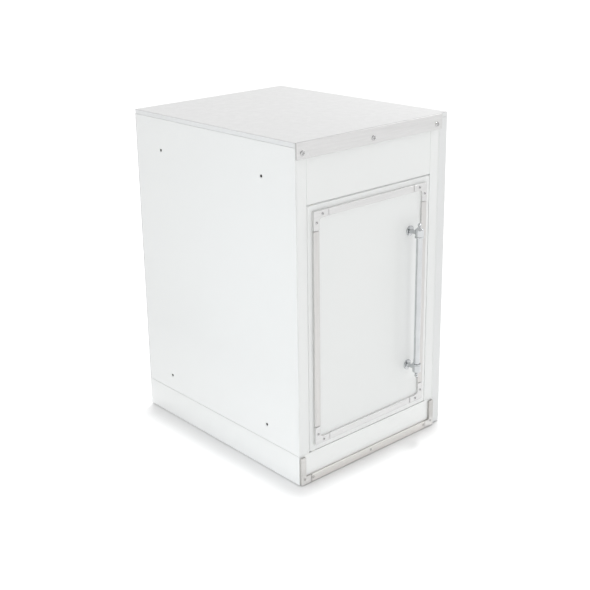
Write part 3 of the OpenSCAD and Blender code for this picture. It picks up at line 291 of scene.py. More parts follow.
finishes = {
    "whiteEnamel": {**enamel, **hollows},
    "topLaminate": {
        "colors": [(0.556, 0.556, 0.555), (0.575, 0.575, 0.574)], "stops": (0.35, 0.65),
        "patch": 0.004, "rough": (0.32, 0.46), "smear": 0.02, "grain": 0.0006,
        "grainDepth": 0.000008},
    # painted light: the left side grows lighter towards the floor, where shade from the floor would
    # darken it
    "sideEnamel": {**enamel, **hollows, "fades": [("Z", 0.28, 0.06, (0.826, 0.837, 0.830))]},
    # a lighter copy of the enamel, painted light on the toe panel and plinth; lighter still towards
    # the floor (painted light) and darker on the plinth's back face (painted shade)
    "toeEnamel": {
        **enamel, "colors": [(0.814, 0.826, 0.816), (0.822, 0.834, 0.824)],
        "fades": [("Z", 0.08, 0.0, (0.935, 0.945, 0.937)),
                  ("Y", 0.3375, 0.3390, (0.70, 0.71, 0.705))]},
    "endBoard": board,
    # painted shade: the end panel's side is darker past its front edge
    "sideBoard": {**board, "fades": [("Y", -0.2948, -0.2938, (0.60, 0.61, 0.61))]},
    "panelWhite": {
        "colors": [(0.773, 0.785, 0.778), (0.777, 0.789, 0.782)], "patch": 0.25,
        "rough": (0.32, 0.34), "smear": 0.2, "specular": 0.28, "grain": 0.0009,
        "grainDepth": 0.000002,
        # painted light: lighter towards the handle bar between the heights 0.165 and 0.61, where
        # the bar and its sleeves shade the panel; the two level fades bring back the plain colour
        # above and below
        "fades": [("X", 0.080, 0.116, (0.85, 0.862, 0.856)),
                  ("Z", 0.580, 0.610, (0.775, 0.787, 0.780)),
                  ("Z", 0.200, 0.165, (0.775, 0.787, 0.780))]},
    # painted light: its sides, past the face, are lighter
    "trimLevel": {**brushedAlong, "fades": [(*paintedSidesSpan, (0.86, 0.86, 0.85))]},
    # painted shade: its sides, past the face, are darker
    "trimTop": {**brushedAlong, "fades": [(*paintedSidesSpan, (0.48, 0.48, 0.475))]},
    # painted light: its sides, past the face, are lighter
    "trimUpright": {
        "colors": [(0.555, 0.545, 0.535), (0.605, 0.595, 0.585)], "patch": (0.004, 0.004, 0.09),
        "rough": (0.26, 0.40), "metal": 1.0, "smear": (0.002, 0.002, 0.05),
        "grain": (0.0002, 0.0002, 0.03), "grainDepth": 0.000004,
        "fades": [(*paintedSidesSpan, (0.76, 0.76, 0.75))]},
    # painted light: pale beads let into the door's gaps, lightening their shade
    "sealVinyl": {
        "colors": [(0.86, 0.87, 0.87), (0.88, 0.89, 0.89)], "patch": 0.05, "rough": (0.40, 0.50),
        "grain": 0.0008, "grainDepth": 0.000004, "edge": 0.0003},
    # a lighter copy of the brushed trim, painted light where the strip faces the shaded floor, with
    # darker sides past its face (painted shade)
    "trimFloor": {
        **brushedAlong, "colors": [(0.79, 0.77, 0.745), (0.84, 0.82, 0.795)],
        "rough": (0.30, 0.44), "fades": [(*paintedSidesSpan, (0.68, 0.665, 0.645))]},
    # painted light and shade: darker at the right-hand corner, lighter towards the floor where the
    # feet face the shaded floor, darker on the sides past the face
    "trimCorner": {
        **brushedAlong, "colors": [(0.64, 0.63, 0.615), (0.68, 0.67, 0.655)],
        "rough": (0.44, 0.56),
        "fades": [("X", 0.20, 0.21, (0.55, 0.54, 0.525)),
                  ("Z", 0.030, 0.012, (0.79, 0.78, 0.765)),
                  (*paintedSidesSpan, (0.56, 0.548, 0.53))]},
    # painted shade: a darker copy of the chrome, for the rosettes only
    "rosetteChrome": {**plating, "colors": [(0.45, 0.465, 0.475), (0.51, 0.525, 0.535)]},
    "chrome": plating,
    "zincSteel": {
        "colors": [(0.56, 0.57, 0.58), (0.60, 0.61, 0.62), (0.63, 0.63, 0.625)],
        "stops": (0.35, 0.5, 0.65), "patch": 0.02, "rough": (0.34, 0.42), "metal": 1.0,
        "smear": 0.02, "grain": (0.0006, 0.0006, 0.02), "grainDepth": 0.000005},
    "screwSteel": {
        **cutSteel, "colors": [(0.36, 0.36, 0.365), (0.46, 0.46, 0.46)], "rough": (0.14, 0.26)},
    "brightScrew": {
        **cutSteel, "colors": [(0.46, 0.46, 0.46), (0.52, 0.52, 0.52)], "rough": (0.12, 0.20)},
    "blackScrew": {
        **cutSteel, "colors": [(0.03, 0.03, 0.03), (0.06, 0.055, 0.05)], "patch": 0.003,
        "rough": (0.35, 0.5), "metal": 0.6},
    "binPlastic": {
        "colors": [(0.085, 0.10, 0.115), (0.12, 0.135, 0.15)], "stops": (0.35, 0.65),
        "patch": 0.08, "rough": (0.42, 0.6), "smear": 0.04, "grain": 0.0009,
        "grainDepth": 0.00004, "scratch": (0.03, 0.03, 0.002), "scratchDepth": 0.00001},
    "gripPlastic": {
        "colors": [(0.012, 0.012, 0.014), (0.022, 0.022, 0.024)], "patch": 0.02,
        "rough": (0.45, 0.6), "grain": 0.0006, "grainDepth": 0.00003},
    "ramPaint": {
        "colors": [(0.20, 0.215, 0.225), (0.27, 0.285, 0.295), (0.31, 0.325, 0.335)],
        "stops": (0.38, 0.5, 0.68), "patch": 0.03, "rough": (0.36, 0.55), "smear": 0.015,
        "grain": 0.0012, "grainDepth": 0.00003, "scratch": (0.02, 0.02, 0.0015),
        "scratchDepth": 0.00002},
    "threadSteel": {
        "colors": [(0.30, 0.30, 0.31), (0.48, 0.48, 0.48)], "stops": (0.35, 0.65), "patch": 0.008,
        "rough": (0.16, 0.34), "metal": 1.0, "smear": 0.006, "edge": 0.0003},
    "bronze": {
        "colors": [(0.50, 0.33, 0.13), (0.62, 0.43, 0.19)], "patch": 0.01, "rough": (0.26, 0.42),
        "metal": 1.0, "smear": 0.004, "grain": (0.004, 0.004, 0.0003), "grainDepth": 0.000006},
    "motorPaint": {
        "colors": [(0.045, 0.048, 0.052), (0.065, 0.068, 0.072)], "patch": 0.04,
        "rough": (0.38, 0.55), "grain": 0.001, "grainDepth": 0.00003},
    "chainSteel": {
        "colors": [(0.16, 0.155, 0.15), (0.27, 0.26, 0.25)], "patch": 0.006,
        "rough": (0.25, 0.45), "metal": 1.0, "smear": 0.004, "edge": 0.0003},
    "nylon": {
        "colors": [(0.72, 0.71, 0.66), (0.78, 0.77, 0.72)], "patch": 0.02, "rough": (0.38, 0.5),
        "grain": 0.0008, "grainDepth": 0.000015},
    "linerPlastic": {
        "colors": [(0.70, 0.70, 0.69), (0.74, 0.74, 0.73)], "patch": 0.15, "rough": (0.40, 0.55),
        "smear": 0.06, "grain": 0.0008, "grainDepth": 0.00003},
    "blackPlastic": {
        "colors": [(0.014, 0.014, 0.016), (0.026, 0.026, 0.028)], "patch": 0.02,
        "rough": (0.38, 0.52), "grain": 0.0007, "grainDepth": 0.00002},
    "redPlastic": {
        "colors": [(0.36, 0.015, 0.012), (0.42, 0.022, 0.016)], "patch": 0.01,
        "rough": (0.2, 0.3), "edge": 0.0004},
    "rubber": {
        "colors": [(0.012, 0.012, 0.012), (0.024, 0.023, 0.022)], "patch": 0.01,
        "rough": (0.62, 0.8), "grain": 0.0008, "grainDepth": 0.00004},
    "paleFloor": {
        "colors": [(0.95, 0.95, 0.95), (0.955, 0.955, 0.955)], "patch": 1.5, "rough": (0.75, 0.9),
        "smear": 0.5, "specular": 0.2, "edge": 0.0, "grain": 0.01, "grainDepth": 0.00002},
}
materials = {name: finish(name, **look) for name, look in finishes.items()}
print("materials ready:", len(materials))


# shapes: a shell is its points, its four-sided faces and its flat end faces
guardReach = 1.12        # a point beside a rounded corner keeps the flat next to it flat
faceInset = 0.0002       # so does a ring this far inside a rounded edge
poleRadius = 0.0002      # where a swept profile meets its axis


def gridShell(points, loop=False):
    # rings of points, each joined to the next, and either the last to the first or one flat
    # face on each of the two
    rings, count = points.shape[:2]
    i = np.arange(rings if loop else rings - 1)[:, None]
    j = np.arange(count)[None, :]
    after, above = (j + 1) % count, (i + 1) % rings
    quads = np.stack([i * count + j, i * count + after, above * count + after, above * count + j],
                     -1).reshape(-1, 4)
    caps = [] if loop else [np.arange(count)[::-1], np.arange(count) + (rings - 1) * count]
    return points.reshape(-1, 3), quads, caps


def laidOut(a, b, c, axis):
    # two flat coordinates and a depth become x, y and z, with the depth along the named axis
    order = {"x": (c, a, b), "y": (a, c, b), "z": (a, b, c)}[axis]
    return np.stack(np.broadcast_arrays(*order), -1)


def softened(corners, reach, steps=5, closed=True):
    # each corner C gives way to (1-t)^2 A + 2t(1-t) C + t^2 B, whose ends A and B lie at reach
    # from C, with one more point just outside each end to keep the flat beside it flat
    corners = np.asarray(corners, float)
    back = np.roll(corners, 1, 0) - corners
    ahead = np.roll(corners, -1, 0) - corners
    back /= np.linalg.norm(back, axis=1)[:, None]
    ahead /= np.linalg.norm(ahead, axis=1)[:, None]
    reach = np.broadcast_to(reach, len(corners))[:, None]
    t = np.linspace(0.0, 1.0, steps)[None, :, None]
    a, b, c = ((corners + side * reach)[:, None] for side in (back, ahead, 0.0))
    curve = (1 - t) ** 2 * a + 2 * t * (1 - t) * c + t ** 2 * b
    guards = [(corners + side * reach * guardReach)[:, None] for side in (back, ahead)]
    curve = np.concatenate([guards[0], curve, guards[1]], 1)
    if closed:
        return curve.reshape(-1, corners.shape[1])
    return np.vstack([corners[:1], curve[1:-1].reshape(-1, corners.shape[1]), corners[-1:]])


def inwards(ring):
    # the unit normal at each point of a closed outline, square to the line through its neighbours
    along = np.roll(ring, -1, 0) - np.roll(ring, 1, 0)
    normal = np.stack([-along[:, 1], along[:, 0]], -1) / np.linalg.norm(along, axis=1)[:, None]
    x, y = ring.T
    area = np.sum(x * np.roll(y, -1) - np.roll(x, -1) * y)
    return normal * np.sign(area)


def ringed(outline, draws, depths, axis, loop=False):
    # ring k is the outline drawn in by draws[k], at depths[k] along the axis
    draws = np.asarray(draws, float)
    draws = draws.reshape(len(draws), -1, 1)
    rings = outline[None] + inwards(outline)[None] * draws
    depths = np.asarray(depths, float)[:, None]
    return gridShell(laidOut(rings[..., 0], rings[..., 1], depths, axis), loop)


def quarterTurn(radius, steps):
    # radius * (1 - sin f) inwards at a rise of radius * (1 - cos f), f from 0 to a right angle
    f = np.linspace(0.0, math.pi / 2, steps)
    return radius * (1 - np.sin(f)), radius * (1 - np.cos(f))


def prism(outline, start, end, axis, edge):
    # the outline carried from start to end, drawn in over a quarter turn of edge at each of them
    draw, rise = quarterTurn(edge, 4)
    draw = np.concatenate([[edge + faceInset], draw, [0.0]])
    rise = np.concatenate([[0.0], rise, [edge * guardReach]])
    return ringed(outline, np.concatenate([draw, draw[::-1]]),
                  np.concatenate([start + rise, end - rise[::-1]]), axis)


def rectangle(low, high, axis):
    # the four corners of a box seen along the axis
    a, b = {"x": (1, 2), "y": (0, 2), "z": (0, 1)}[axis]
    return np.array([(low[a], low[b]), (high[a], low[b]), (high[a], high[b]), (low[a], high[b])])


def slab(low, high, axis, corner, edge):
    # a box whose four long corners and two faces are rounded
    depth = "xyz".index(axis)
    return prism(softened(rectangle(low, high, axis), corner), low[depth], high[depth], axis, edge)


def pan(low, high, sheet, corner, edge):
    # a folded sheet open at the back: a face with rounded edges, its sides, and the same inside
    deep = high[1] - low[1]
    draw, rise = quarterTurn(edge, 5)
    draw = np.concatenate([[edge + faceInset], draw, [0.0, 0.0, sheet, sheet]])
    rise = np.concatenate([[0.0], rise, [edge * guardReach, deep, deep, sheet]])
    return ringed(softened(rectangle(low, high, "y"), corner), draw, low[1] + rise, "y")


def turned(profile, centre, axis, turns=48, flute=None):
    # the profile's radius r and height h swept round: r cos t, r sin t, h; flute(t, h) adds to r
    radius, height = np.asarray(profile, float).T[:, :, None]
    t = np.linspace(0.0, 2 * math.pi, turns, endpoint=False)[None, :]
    if flute:
        radius = radius + flute(t, height)
    a, b = radius * np.cos(t), radius * np.sin(t)
    return gridShell(laidOut(a, b, height, axis) + np.asarray(centre))


def carried(path, radius, sides):
    # a round tube: centre(s) + radius(s) * (u cos t + v sin t), with u and v square to the path
    along = np.gradient(path, axis=0)
    along /= np.linalg.norm(along, axis=1)[:, None]
    u = np.cross(along, (0.36, 0.48, 0.80))     # a direction that no path here follows
    u /= np.linalg.norm(u, axis=1)[:, None]
    v = np.cross(along, u)
    t = np.linspace(0.0, 2 * math.pi, sides, endpoint=False)[None, :, None]
    radius = np.broadcast_to(radius, len(path))[:, None, None]
    return gridShell(path[:, None] + radius * (u[:, None] * np.cos(t) + v[:, None] * np.sin(t)))


def lengthAlong(path):
    # how far along the path each of its points lies
    return np.concatenate([[0.0], np.cumsum(np.linalg.norm(np.diff(path, axis=0), axis=1))])


def spaced(path, places):
    # the path's points at those lengths along it
    return np.stack([np.interp(places, lengthAlong(path), side) for side in path.T], -1)


def smooth(value):
    # 0 below 0, 1 above 1, and 3v^2 - 2v^3 between
    value = np.clip(value, 0.0, 1.0)
    return value * value * (3.0 - 2.0 * value)


def gathered(low, high, step, centres, reach, fine):
    # places from low to high, step apart, and fine apart within reach of each centre
    near = [np.arange(-reach, reach + fine / 2, fine) + centre for centre in centres]
    count = max(2, int(round((high - low) / step)) + 1)
    places = np.unique(np.round(np.concatenate([np.linspace(low, high, count)] + near), 6))
    return places[(places >= low) & (places <= high)]


def sheetShell(front, back):
    # two grids of points, face to face, joined round their borders
    rows, columns = front.shape[:2]
    number = np.arange(rows * columns).reshape(rows, columns)
    quads = np.stack([number[:-1, :-1], number[:-1, 1:], number[1:, 1:], number[1:, :-1]],
                     -1).reshape(-1, 4)
    rim = np.concatenate([number[0, :-1], number[:-1, -1], number[-1, :0:-1], number[:0:-1, 0]])
    ahead = np.roll(rim, -1)
    far = rows * columns
    walls = np.stack([rim, ahead, ahead + far, rim + far], -1)
    points = np.concatenate([front.reshape(-1, 3), back.reshape(-1, 3)])
    return points, np.concatenate([quads, quads[:, ::-1] + far, walls]), []


def cadBox(node):
    # the lowest and the highest corner of a CAD node
    low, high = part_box(node)
    return np.array(low), np.array(high)


def solidBoxes(node, axes, gap=0.004):
    # the box of each solid in a node: its points part wherever an axis has a gap between them
    vertices = nodes[node].data.vertices
    points = np.empty(3 * len(vertices), np.float32)
    vertices.foreach_get("co", points)
    groups = [points.reshape(-1, 3).astype(float)]
    for axis in axes:
        parted = []
        for group in groups:
            group = group[np.argsort(group[:, "xyz".index(axis)])]
            breaks = np.nonzero(np.diff(group[:, "xyz".index(axis)]) > gap)[0] + 1
            parted += np.split(group, breaks)
        groups = parted
    return [(group.min(0), group.max(0)) for group in groups]


def piece(name, shells, finishName, body, stands=(), sharp=38.0):
    # joins the shells into one mesh, turns their faces outwards and keeps edges past sharp degrees
    faces, start = [], 0
    for points, quads, caps in shells:
        faces += (quads + start).tolist()
        faces += [(cap + start).tolist() for cap in caps]
        start += len(points)
    mesh = bpy.data.meshes.new(name)
    mesh.from_pydata(np.concatenate([shell[0] for shell in shells]), [], faces)
    work = bmesh.new()
    work.from_mesh(mesh)
    bmesh.ops.recalc_face_normals(work, faces=work.faces)
    work.to_mesh(mesh)
    work.free()
    mesh.shade_smooth()
    mesh.set_sharp_from_angle(angle=math.radians(sharp))
    mesh.materials.append(materials[finishName])
    thing = bpy.data.objects.new(name, mesh)
    bpy.context.scene.collection.objects.link(thing)
    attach(thing, body)
    if stands:
        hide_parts(*stands)


def addFloor():
    # one square face, as far out as floorReach on every side
    mesh = bpy.data.meshes.new("paleFloor")
    corners = np.array([(-1, -1, 0), (1, -1, 0), (1, 1, 0), (-1, 1, 0)]) * studio["floorReach"]
    mesh.from_pydata(corners, [], [(0, 1, 2, 3)])
    mesh.materials.append(materials["paleFloor"])
    ground = bpy.data.objects.new("paleFloor", mesh)
    bpy.context.scene.collection.objects.link(ground)


addFloor()
print("floor laid")


# cabinet. In every shape a corner is rounded over the reach given, and an edge by the radius
topPlateShape = {"corner": 0.0018, "laminate": 0.0010, "laminateEdge": 0.0004, "boardEdge": 0.0003}


def makeTopPlate():
    # a white board under a thin sheet of laminate, both rounded boxes
    look = topPlateShape
    low, high = cadBox("top_plate")
    seam = high[2] - look["laminate"]
    under = slab(low, (high[0], high[1], seam), "z", look["corner"], look["boardEdge"])
    piece("topBoard", [under], "endBoard", "cabinet", ["top_plate"])
    sheet = slab((low[0], low[1], seam), high, "z", look["corner"], look["laminateEdge"])
    piece("topSheet", [sheet], "topLaminate", "cabinet", ["top_plate"])


endPanelShape = {"corner": 0.0018, "edge": 0.0008}


def makeEndPanel():
    # a board: a rounded box
    low, high = cadBox("right_end_panel")
    shell = slab(low, high, "x", endPanelShape["corner"], endPanelShape["edge"])
    piece("endPanel", [shell], "sideBoard", "cabinet", ["right_end_panel"])


sidePanelShape = {
    "step": 0.030, "fine": 0.0004,            # between points on the plain sheet, and in its bends
    "nearScrew": 0.006, "nearEdge": 0.0016,   # how far the fine points reach
    "edge": 0.0007,
    "recess": 0.0017, "recessRadius": 0.0037, "recessLip": 0.0008,
    "wave": 0.00018, "waveBorder": 0.08,      # depth of the slow waves, which die out to the edge
    "waveTurns": (9.0, 2.0, 7.0, 4.0),
}


def makeLeftSidePanel():
    # x = low + edge round-over + recess * smooth(1 - (r - R) / lip) at each screw + slow waves,
    # wave * (1 + sin(p y + q) cos(r z + s y))
    look = sidePanelShape
    low, high = cadBox("left_side_panel")
    screws = [(a + b)[1:] / 2 for a, b in solidBoxes("side_screws", "yz")]
    lines = []
    for k in (0, 1):
        start, end = low[k + 1], high[k + 1]
        spots = sorted({round(float(screw[k]), 4) for screw in screws})
        plain = gathered(start, end, look["step"], spots, look["nearScrew"], look["fine"])
        rims = gathered(start, end, end - start, [start, end], look["nearEdge"], look["fine"])
        lines.append(np.unique(np.round(np.concatenate([rims, plain]), 6)))
    y, z = np.meshgrid(*lines, indexing="ij")
    border = np.minimum(np.minimum(y - low[1], high[1] - y), np.minimum(z - low[2], high[2] - z))
    edge = look["edge"]
    deep = edge - np.sqrt(edge ** 2 - np.clip(edge - border, 0.0, edge) ** 2)
    for screw in screws:
        away = np.hypot(y - screw[0], z - screw[1])
        deep += look["recess"] * smooth(1 - (away - look["recessRadius"]) / look["recessLip"])
    inside = smooth(border / look["waveBorder"])
    p, q, r, s = look["waveTurns"]
    deep += look["wave"] * inside * (1 + np.sin(p * y + q) * np.cos(r * z + s * y))
    front = np.stack([low[0] + deep, y, z], -1)
    back = np.stack([high[0] + 0 * deep, y, z], -1)
    piece("leftSidePanel", [sheetShell(front, back)], "sideEnamel", "cabinet",
          ["left_side_panel"])


stileShape = {"sheet": 0.0015, "fold": 0.0010, "tip": 0.0006, "cut": 0.0002}


def makeStiles():
    # a folded channel: its U outline carried from the plinth to the top
    look = stileShape
    t, fold, tip = look["sheet"], look["fold"], look["tip"]
    for node, name in (("left_stile", "leftStile"), ("right_stile", "rightStile")):
        (x0, y0, z0), (x1, y1, z1) = cadBox(node)
        corners = [(x0, y1), (x0, y0), (x1, y0), (x1, y1),
                   (x1 - t, y1), (x1 - t, y0 + t), (x0 + t, y0 + t), (x0 + t, y1)]
        outline = softened(corners, [tip, fold, fold, tip, tip, tip, tip, tip])
        piece(name, [prism(outline, z0, z1, "z", look["cut"])], "whiteEnamel", "cabinet",
              [node])


fasciaShape = {"sheet": 0.0015, "corner": 0.0022, "edge": 0.0010}


def makeFascia():
    # a folded sheet, open at the back
    look = fasciaShape
    shell = pan(*cadBox("fascia_panel"), look["sheet"], look["corner"], look["edge"])
    piece("fasciaPanel", [shell], "whiteEnamel", "cabinet", ["fascia_panel"])


toePanelShape = {"sheet": 0.0015, "fold": 0.0010, "tip": 0.0006, "cut": 0.0002}


def makeToePanel():
    # an angle: its L outline carried from side to side
    look = toePanelShape
    t, fold, tip = look["sheet"], look["fold"], look["tip"]
    (x0, y0, z0), (x1, y1, z1) = cadBox("toe_panel")
    corners = [(y0, z0), (y0 + t, z0), (y0 + t, z1 - t), (y1, z1 - t), (y1, z1), (y0, z1)]
    outline = softened(corners, [tip, tip, tip, tip, tip, fold])
    piece("toePanel", [prism(outline, x0, x1, "x", look["cut"])], "toeEnamel", "cabinet",
          ["toe_panel"])


ventShape = {
    "rows": 7, "pitch": 0.014, "firstUp": 0.044,     # how far the lowest row is above the pan
    "space": 0.020, "wide": 0.060, "tall": 0.005,    # between the two slots of a row, and a slot
    "rim": 0.0010, "up": 0.0011, "sunk": 0.0002,
}


def makeVentRims():
    # round each slot in the back a pressed rim, half an ellipse: out by rim * (1 + cos f), and
    # up * sin f past the back
    look = ventShape
    back = cadBox("back_panel")[1][1]
    motorLow, motorHigh = cadBox("motor_housing")
    first = cadBox("base_pan")[1][2] + look["firstUp"]
    middle = (motorLow + motorHigh)[0] / 2
    f = np.linspace(0.0, math.pi, 9)
    draws = -look["rim"] * (1 + np.cos(f))
    depths = back - look["sunk"] + look["up"] * np.sin(f)
    shells = []
    for row in range(look["rows"]):
        for way in (-1, 1):
            x0 = middle + way * look["space"] / 2
            x1 = x0 + way * look["wide"]
            z0 = first + row * look["pitch"]
            box = (min(x0, x1), 0.0, z0), (max(x0, x1), 0.0, z0 + look["tall"])
            outline = softened(rectangle(*box, "y"), look["tall"] / 4)
            shells.append(ringed(outline, draws, depths, "y", True))
    piece("ventRims", shells, "zincSteel", "cabinet")


makeTopPlate()
makeEndPanel()
makeLeftSidePanel()
makeStiles()
makeFascia()
makeToePanel()
makeVentRims()
print("cabinet sheets made")


# bright trim along the top and the floor, and the frame on the door
levelTrimShape = {"edge": 0.0011, "wall": 0.0006, "end": 0.0002}   # in front, behind, at the ends


def makeTopAndToeTrim():
    # a flat strip with two rounded front edges: its outline carried from side to side
    look = levelTrimShape
    edge, wall = look["edge"], look["wall"]
    for node, name, finishName in (("top_trim", "topTrim", "trimTop"),
                                   ("toe_trim", "toeTrim", "trimFloor")):
        low, high = cadBox(node)
        outline = softened(rectangle(low, high, "x"), [edge, wall, wall, edge])
        piece(name, [prism(outline, low[0], high[0], "x", look["end"])], finishName, "cabinet",
              [node])


toeCornerShape = {"leg": 0.016, "foot": 0.033, "corner": 0.0021, "edge": 0.0011}


def makeToeCorners():
    # an L outline at each end, its foot as tall as the strip, with its face's edges rounded
    look = toeCornerShape
    (x0, y0, z0), (x1, y1, z1) = cadBox("toe_trim_corners")
    leg, foot, rise = look["leg"], look["foot"], cadBox("toe_trim")[1][2]
    corners = np.array([(0, z0), (foot, z0), (foot, rise), (leg, rise), (leg, z1), (0, z1)])
    shells = []
    for start, way in ((x0, 1), (x1, -1)):
        outline = softened(corners * (way, 1) + (start, 0), look["corner"])
        shells.append(prism(outline, y0, y1, "y", look["edge"]))
    piece("toeTrimCorners", shells, "trimCorner", "cabinet", ["toe_trim_corners"])


doorTrimShape = {"edge": 0.0011, "wall": 0.0006, "end": 0.0002}
stripsApart = 0.1        # the strips of the door's frame lie further apart than this


def makeDoorTrim():
    # each strip laps the panel: its outline has a step of the panel's thickness on the inner side
    look = doorTrimShape
    edge, wall = look["edge"], look["wall"]
    panelLow, panelHigh = cadBox("door_panel")
    middle = (panelLow + panelHigh) / 2
    reach = [wall, edge, edge, wall, wall, wall]
    for node, name, across, axis, finishName in (
            ("door_trim_rails", "doorTrimRails", 2, "x", "trimLevel"),
            ("door_trim_stiles", "doorTrimStiles", 0, "z", "trimUpright")):
        shells = []
        along = "xyz".index(axis)
        for low, high in solidBoxes(node, "xyz"[across], stripsApart):
            outer, inner, lap = low[across], high[across], panelLow[across]
            if low[across] > middle[across]:
                outer, inner, lap = high[across], low[across], panelHigh[across]
            wide = np.array([outer, outer, inner, inner, lap, lap])
            deep = np.array([high[1], low[1], low[1], panelLow[1], panelLow[1], high[1]])
            outline = np.stack((deep, wide) if axis == "x" else (wide, deep), -1)
            shells.append(prism(softened(outline, reach), low[along], high[along], axis,
                                look["end"]))
        piece(name, shells, finishName, "door", [node])


doorBracketShape = {"leg": 0.048, "inner": 0.012, "corner": 0.0021, "edge": 0.0011}


def makeDoorBrackets():
    # an L with a rounded inner corner at each corner of the frame
    look = doorBracketShape
    low, high = cadBox("door_corner_brackets")
    railLow, railHigh = solidBoxes("door_trim_rails", "z", stripsApart)[0]
    wide = railHigh[2] - railLow[2]
    leg, inner, tip = look["leg"], look["inner"], look["corner"]
    corners = np.array([(0, 0), (leg, 0), (leg, wide), (wide, wide), (wide, leg), (0, leg)])
    shells = []
    for x, wayX in ((low[0], 1), (high[0], -1)):
        for z, wayZ in ((low[2], 1), (high[2], -1)):
            outline = softened(corners * (wayX, wayZ) + (x, z), [tip, tip, tip, inner, tip, tip], 7)
            shells.append(prism(outline, low[1], high[1], "y", look["edge"]))
    piece("doorCornerBrackets", shells, "trimLevel", "door",
          ["door_corner_brackets"])


makeTopAndToeTrim()
makeToeCorners()
makeDoorTrim()
makeDoorBrackets()
print("bright trim made")


# screws: every head is placed by its CAD solid
screwShape = {
    "headShare": 0.55, "headMost": 0.0026,      # a head's height, as a share of its radius
    "lowHeads": {"+y": 0.0020, "-x": 0.0008},   # the height where it is lower, by the way it faces
    "largeHead": 0.004, "shank": (0.0017, 0.0021),   # shank radius up to that head and past it
    "toeReach": 0.1,                            # the front ones below this are along the floor
    "fall": 0.9, "cross": 0.62,                 # how far the dome falls, and how deep its cross is
    "arm": (0.16, 0.1), "armEnd": (0.56, 0.16),   # half its width and length, and how they slope
    "firstTurn": 0.4, "nextTurn": 1.1,          # radians: no two crosses lie alike
    "middle": (0.004, 0.06), "rings": 20, "sides": 48,   # the two inner rings, as radius shares
}


def screwShell(seat, facing, radius, height, shank, reach, turn):
    # a head of height * (sqrt(1 - fall * (r/R)^2) - cross * arms), then a plain shank
    look = screwShape
    pole, first = look["middle"]
    r = np.concatenate([[pole], np.linspace(first, 1.0, look["rings"])])[:, None]
    t = np.linspace(0.0, 2 * math.pi, look["sides"], endpoint=False)[None, :]
    a, b = abs(r * np.cos(t + turn)), abs(r * np.sin(t + turn))
    (wide, slope), (long, endSlope) = look["arm"], look["armEnd"]
    arms = np.maximum(smooth((wide - a) / slope + 0.5) * smooth((long - b) / endSlope + 0.5),
                      smooth((wide - b) / slope + 0.5) * smooth((long - a) / endSlope + 0.5))
    lift = height * (np.sqrt(1 - look["fall"] * r ** 2) - look["cross"] * arms)
    one = np.ones_like(t)
    lift = np.concatenate([lift, 0 * one, 0 * one, -reach * one])
    ring = np.concatenate([r * radius, [[radius], [shank], [shank]]])
    sign = -1 if facing[0] == "-" else 1
    return gridShell(laidOut(ring * np.cos(t), ring * np.sin(t), sign * lift, facing[1]) + seat)


def makeScrews():
    # the front ones part in two: those along the floor and those above
    look = screwShape
    above, below = (look["toeReach"], math.inf), (0.0, look["toeReach"])
    for node, name, body, finishName, slotName, facing, span in (
            ("front_screws", "topScrews", "cabinet", "brightScrew", "screw_steel", "-y", above),
            ("front_screws", "toeScrews", "cabinet", "trimUpright", "screw_steel", "-y", below),
            ("door_trim_screws", "doorTrimScrews", "door", "brightScrew", "screw_steel", "-y",
             None),
            ("back_screws", "backScrews", "cabinet", "screwSteel", "screw_steel", "+y", None),
            ("side_screws", "sideScrews", "cabinet", "blackScrew", "black_screw", "-x", None)):
        across = "xyz".index(facing[1])
        shells = []
        for number, (low, high) in enumerate(solidBoxes(node, "yz" if across == 0 else "xz")):
            if span and not span[0] < low[2] < span[1]:
                continue
            radius = (high - low)[2] / 2
            height = min(radius * look["headShare"], look["headMost"])
            height = look["lowHeads"].get(facing, height)
            shank = look["shank"][int(radius > look["largeHead"])]
            seat = (low + high) / 2
            if facing[0] == "-":
                seat[across] = low[across] + height
                reach = high[across] - seat[across]
            else:
                seat[across] = high[across] - height
                reach = seat[across] - low[across]
            turn = look["firstTurn"] + look["nextTurn"] * number
            shells.append(screwShell(seat, facing, radius, height, shank, reach, turn))
        piece(name, shells, finishName, body, [node])


makeScrews()
print("screws made")


# door: folded skin, vinyl beads whose pale colour puts painted light into its gaps, framed panel
# and moulded liner
doorSkinShape = {"sheet": 0.0015, "corner": 0.0024, "edge": 0.0012}


def makeDoorSkin():
    # a folded sheet, open at the back
    look = doorSkinShape
    shell = pan(*cadBox("door_skin"), look["sheet"], look["corner"], look["edge"])
    piece("doorSkin", [shell], "whiteEnamel", "door", ["door_skin"])


doorSealShape = {
    "wide": 0.002, "into": 0.00005, "corner": 0.0003, "end": 0.0002,
    "short": 0.006,      # how far the lower bead stops short of the hinge edge
    "past": 0.0012,      # how far both level beads go past the latch edge
    # which edge of the door, how far the bead stands off it, how far behind the face
    "stands": {"z": [(0, 0.0009, 0.0010), (1, 0.0015, 0.0010)],
               "x": [(0, 0.0018, 0.0012), (1, 0.0014, 0.0026)]},
}


def makeDoorSeal():
    # a vinyl bead along each edge of the door, let into the gap round it, its pale colour painted
    # light in the gap's shade;
    # the lower one stops short of the hinge, where an open door swings inward
    look = doorSealShape
    low, high = cadBox("door_skin")
    shells = []
    for across, axis in ((0, "z"), (2, "x")):
        for side, stand, deep in look["stands"][axis]:
            start, end = low.copy(), high.copy()
            edge = (low, high)[side][across]
            start[across] = edge - (look["into"] if side else stand)
            end[across] = edge + (stand if side else look["into"])
            if axis == "x":
                end[0] += look["past"]
                start[0] += look["short"] * (1 - side)
            start[1] = low[1] + deep
            end[1] = start[1] + look["wide"]
            shells.append(slab(start, end, axis, look["corner"], look["end"]))
    piece("doorSeal", shells, "sealVinyl", "door")


doorPanelShape = {"corner": 0.0012, "edge": 0.0004}


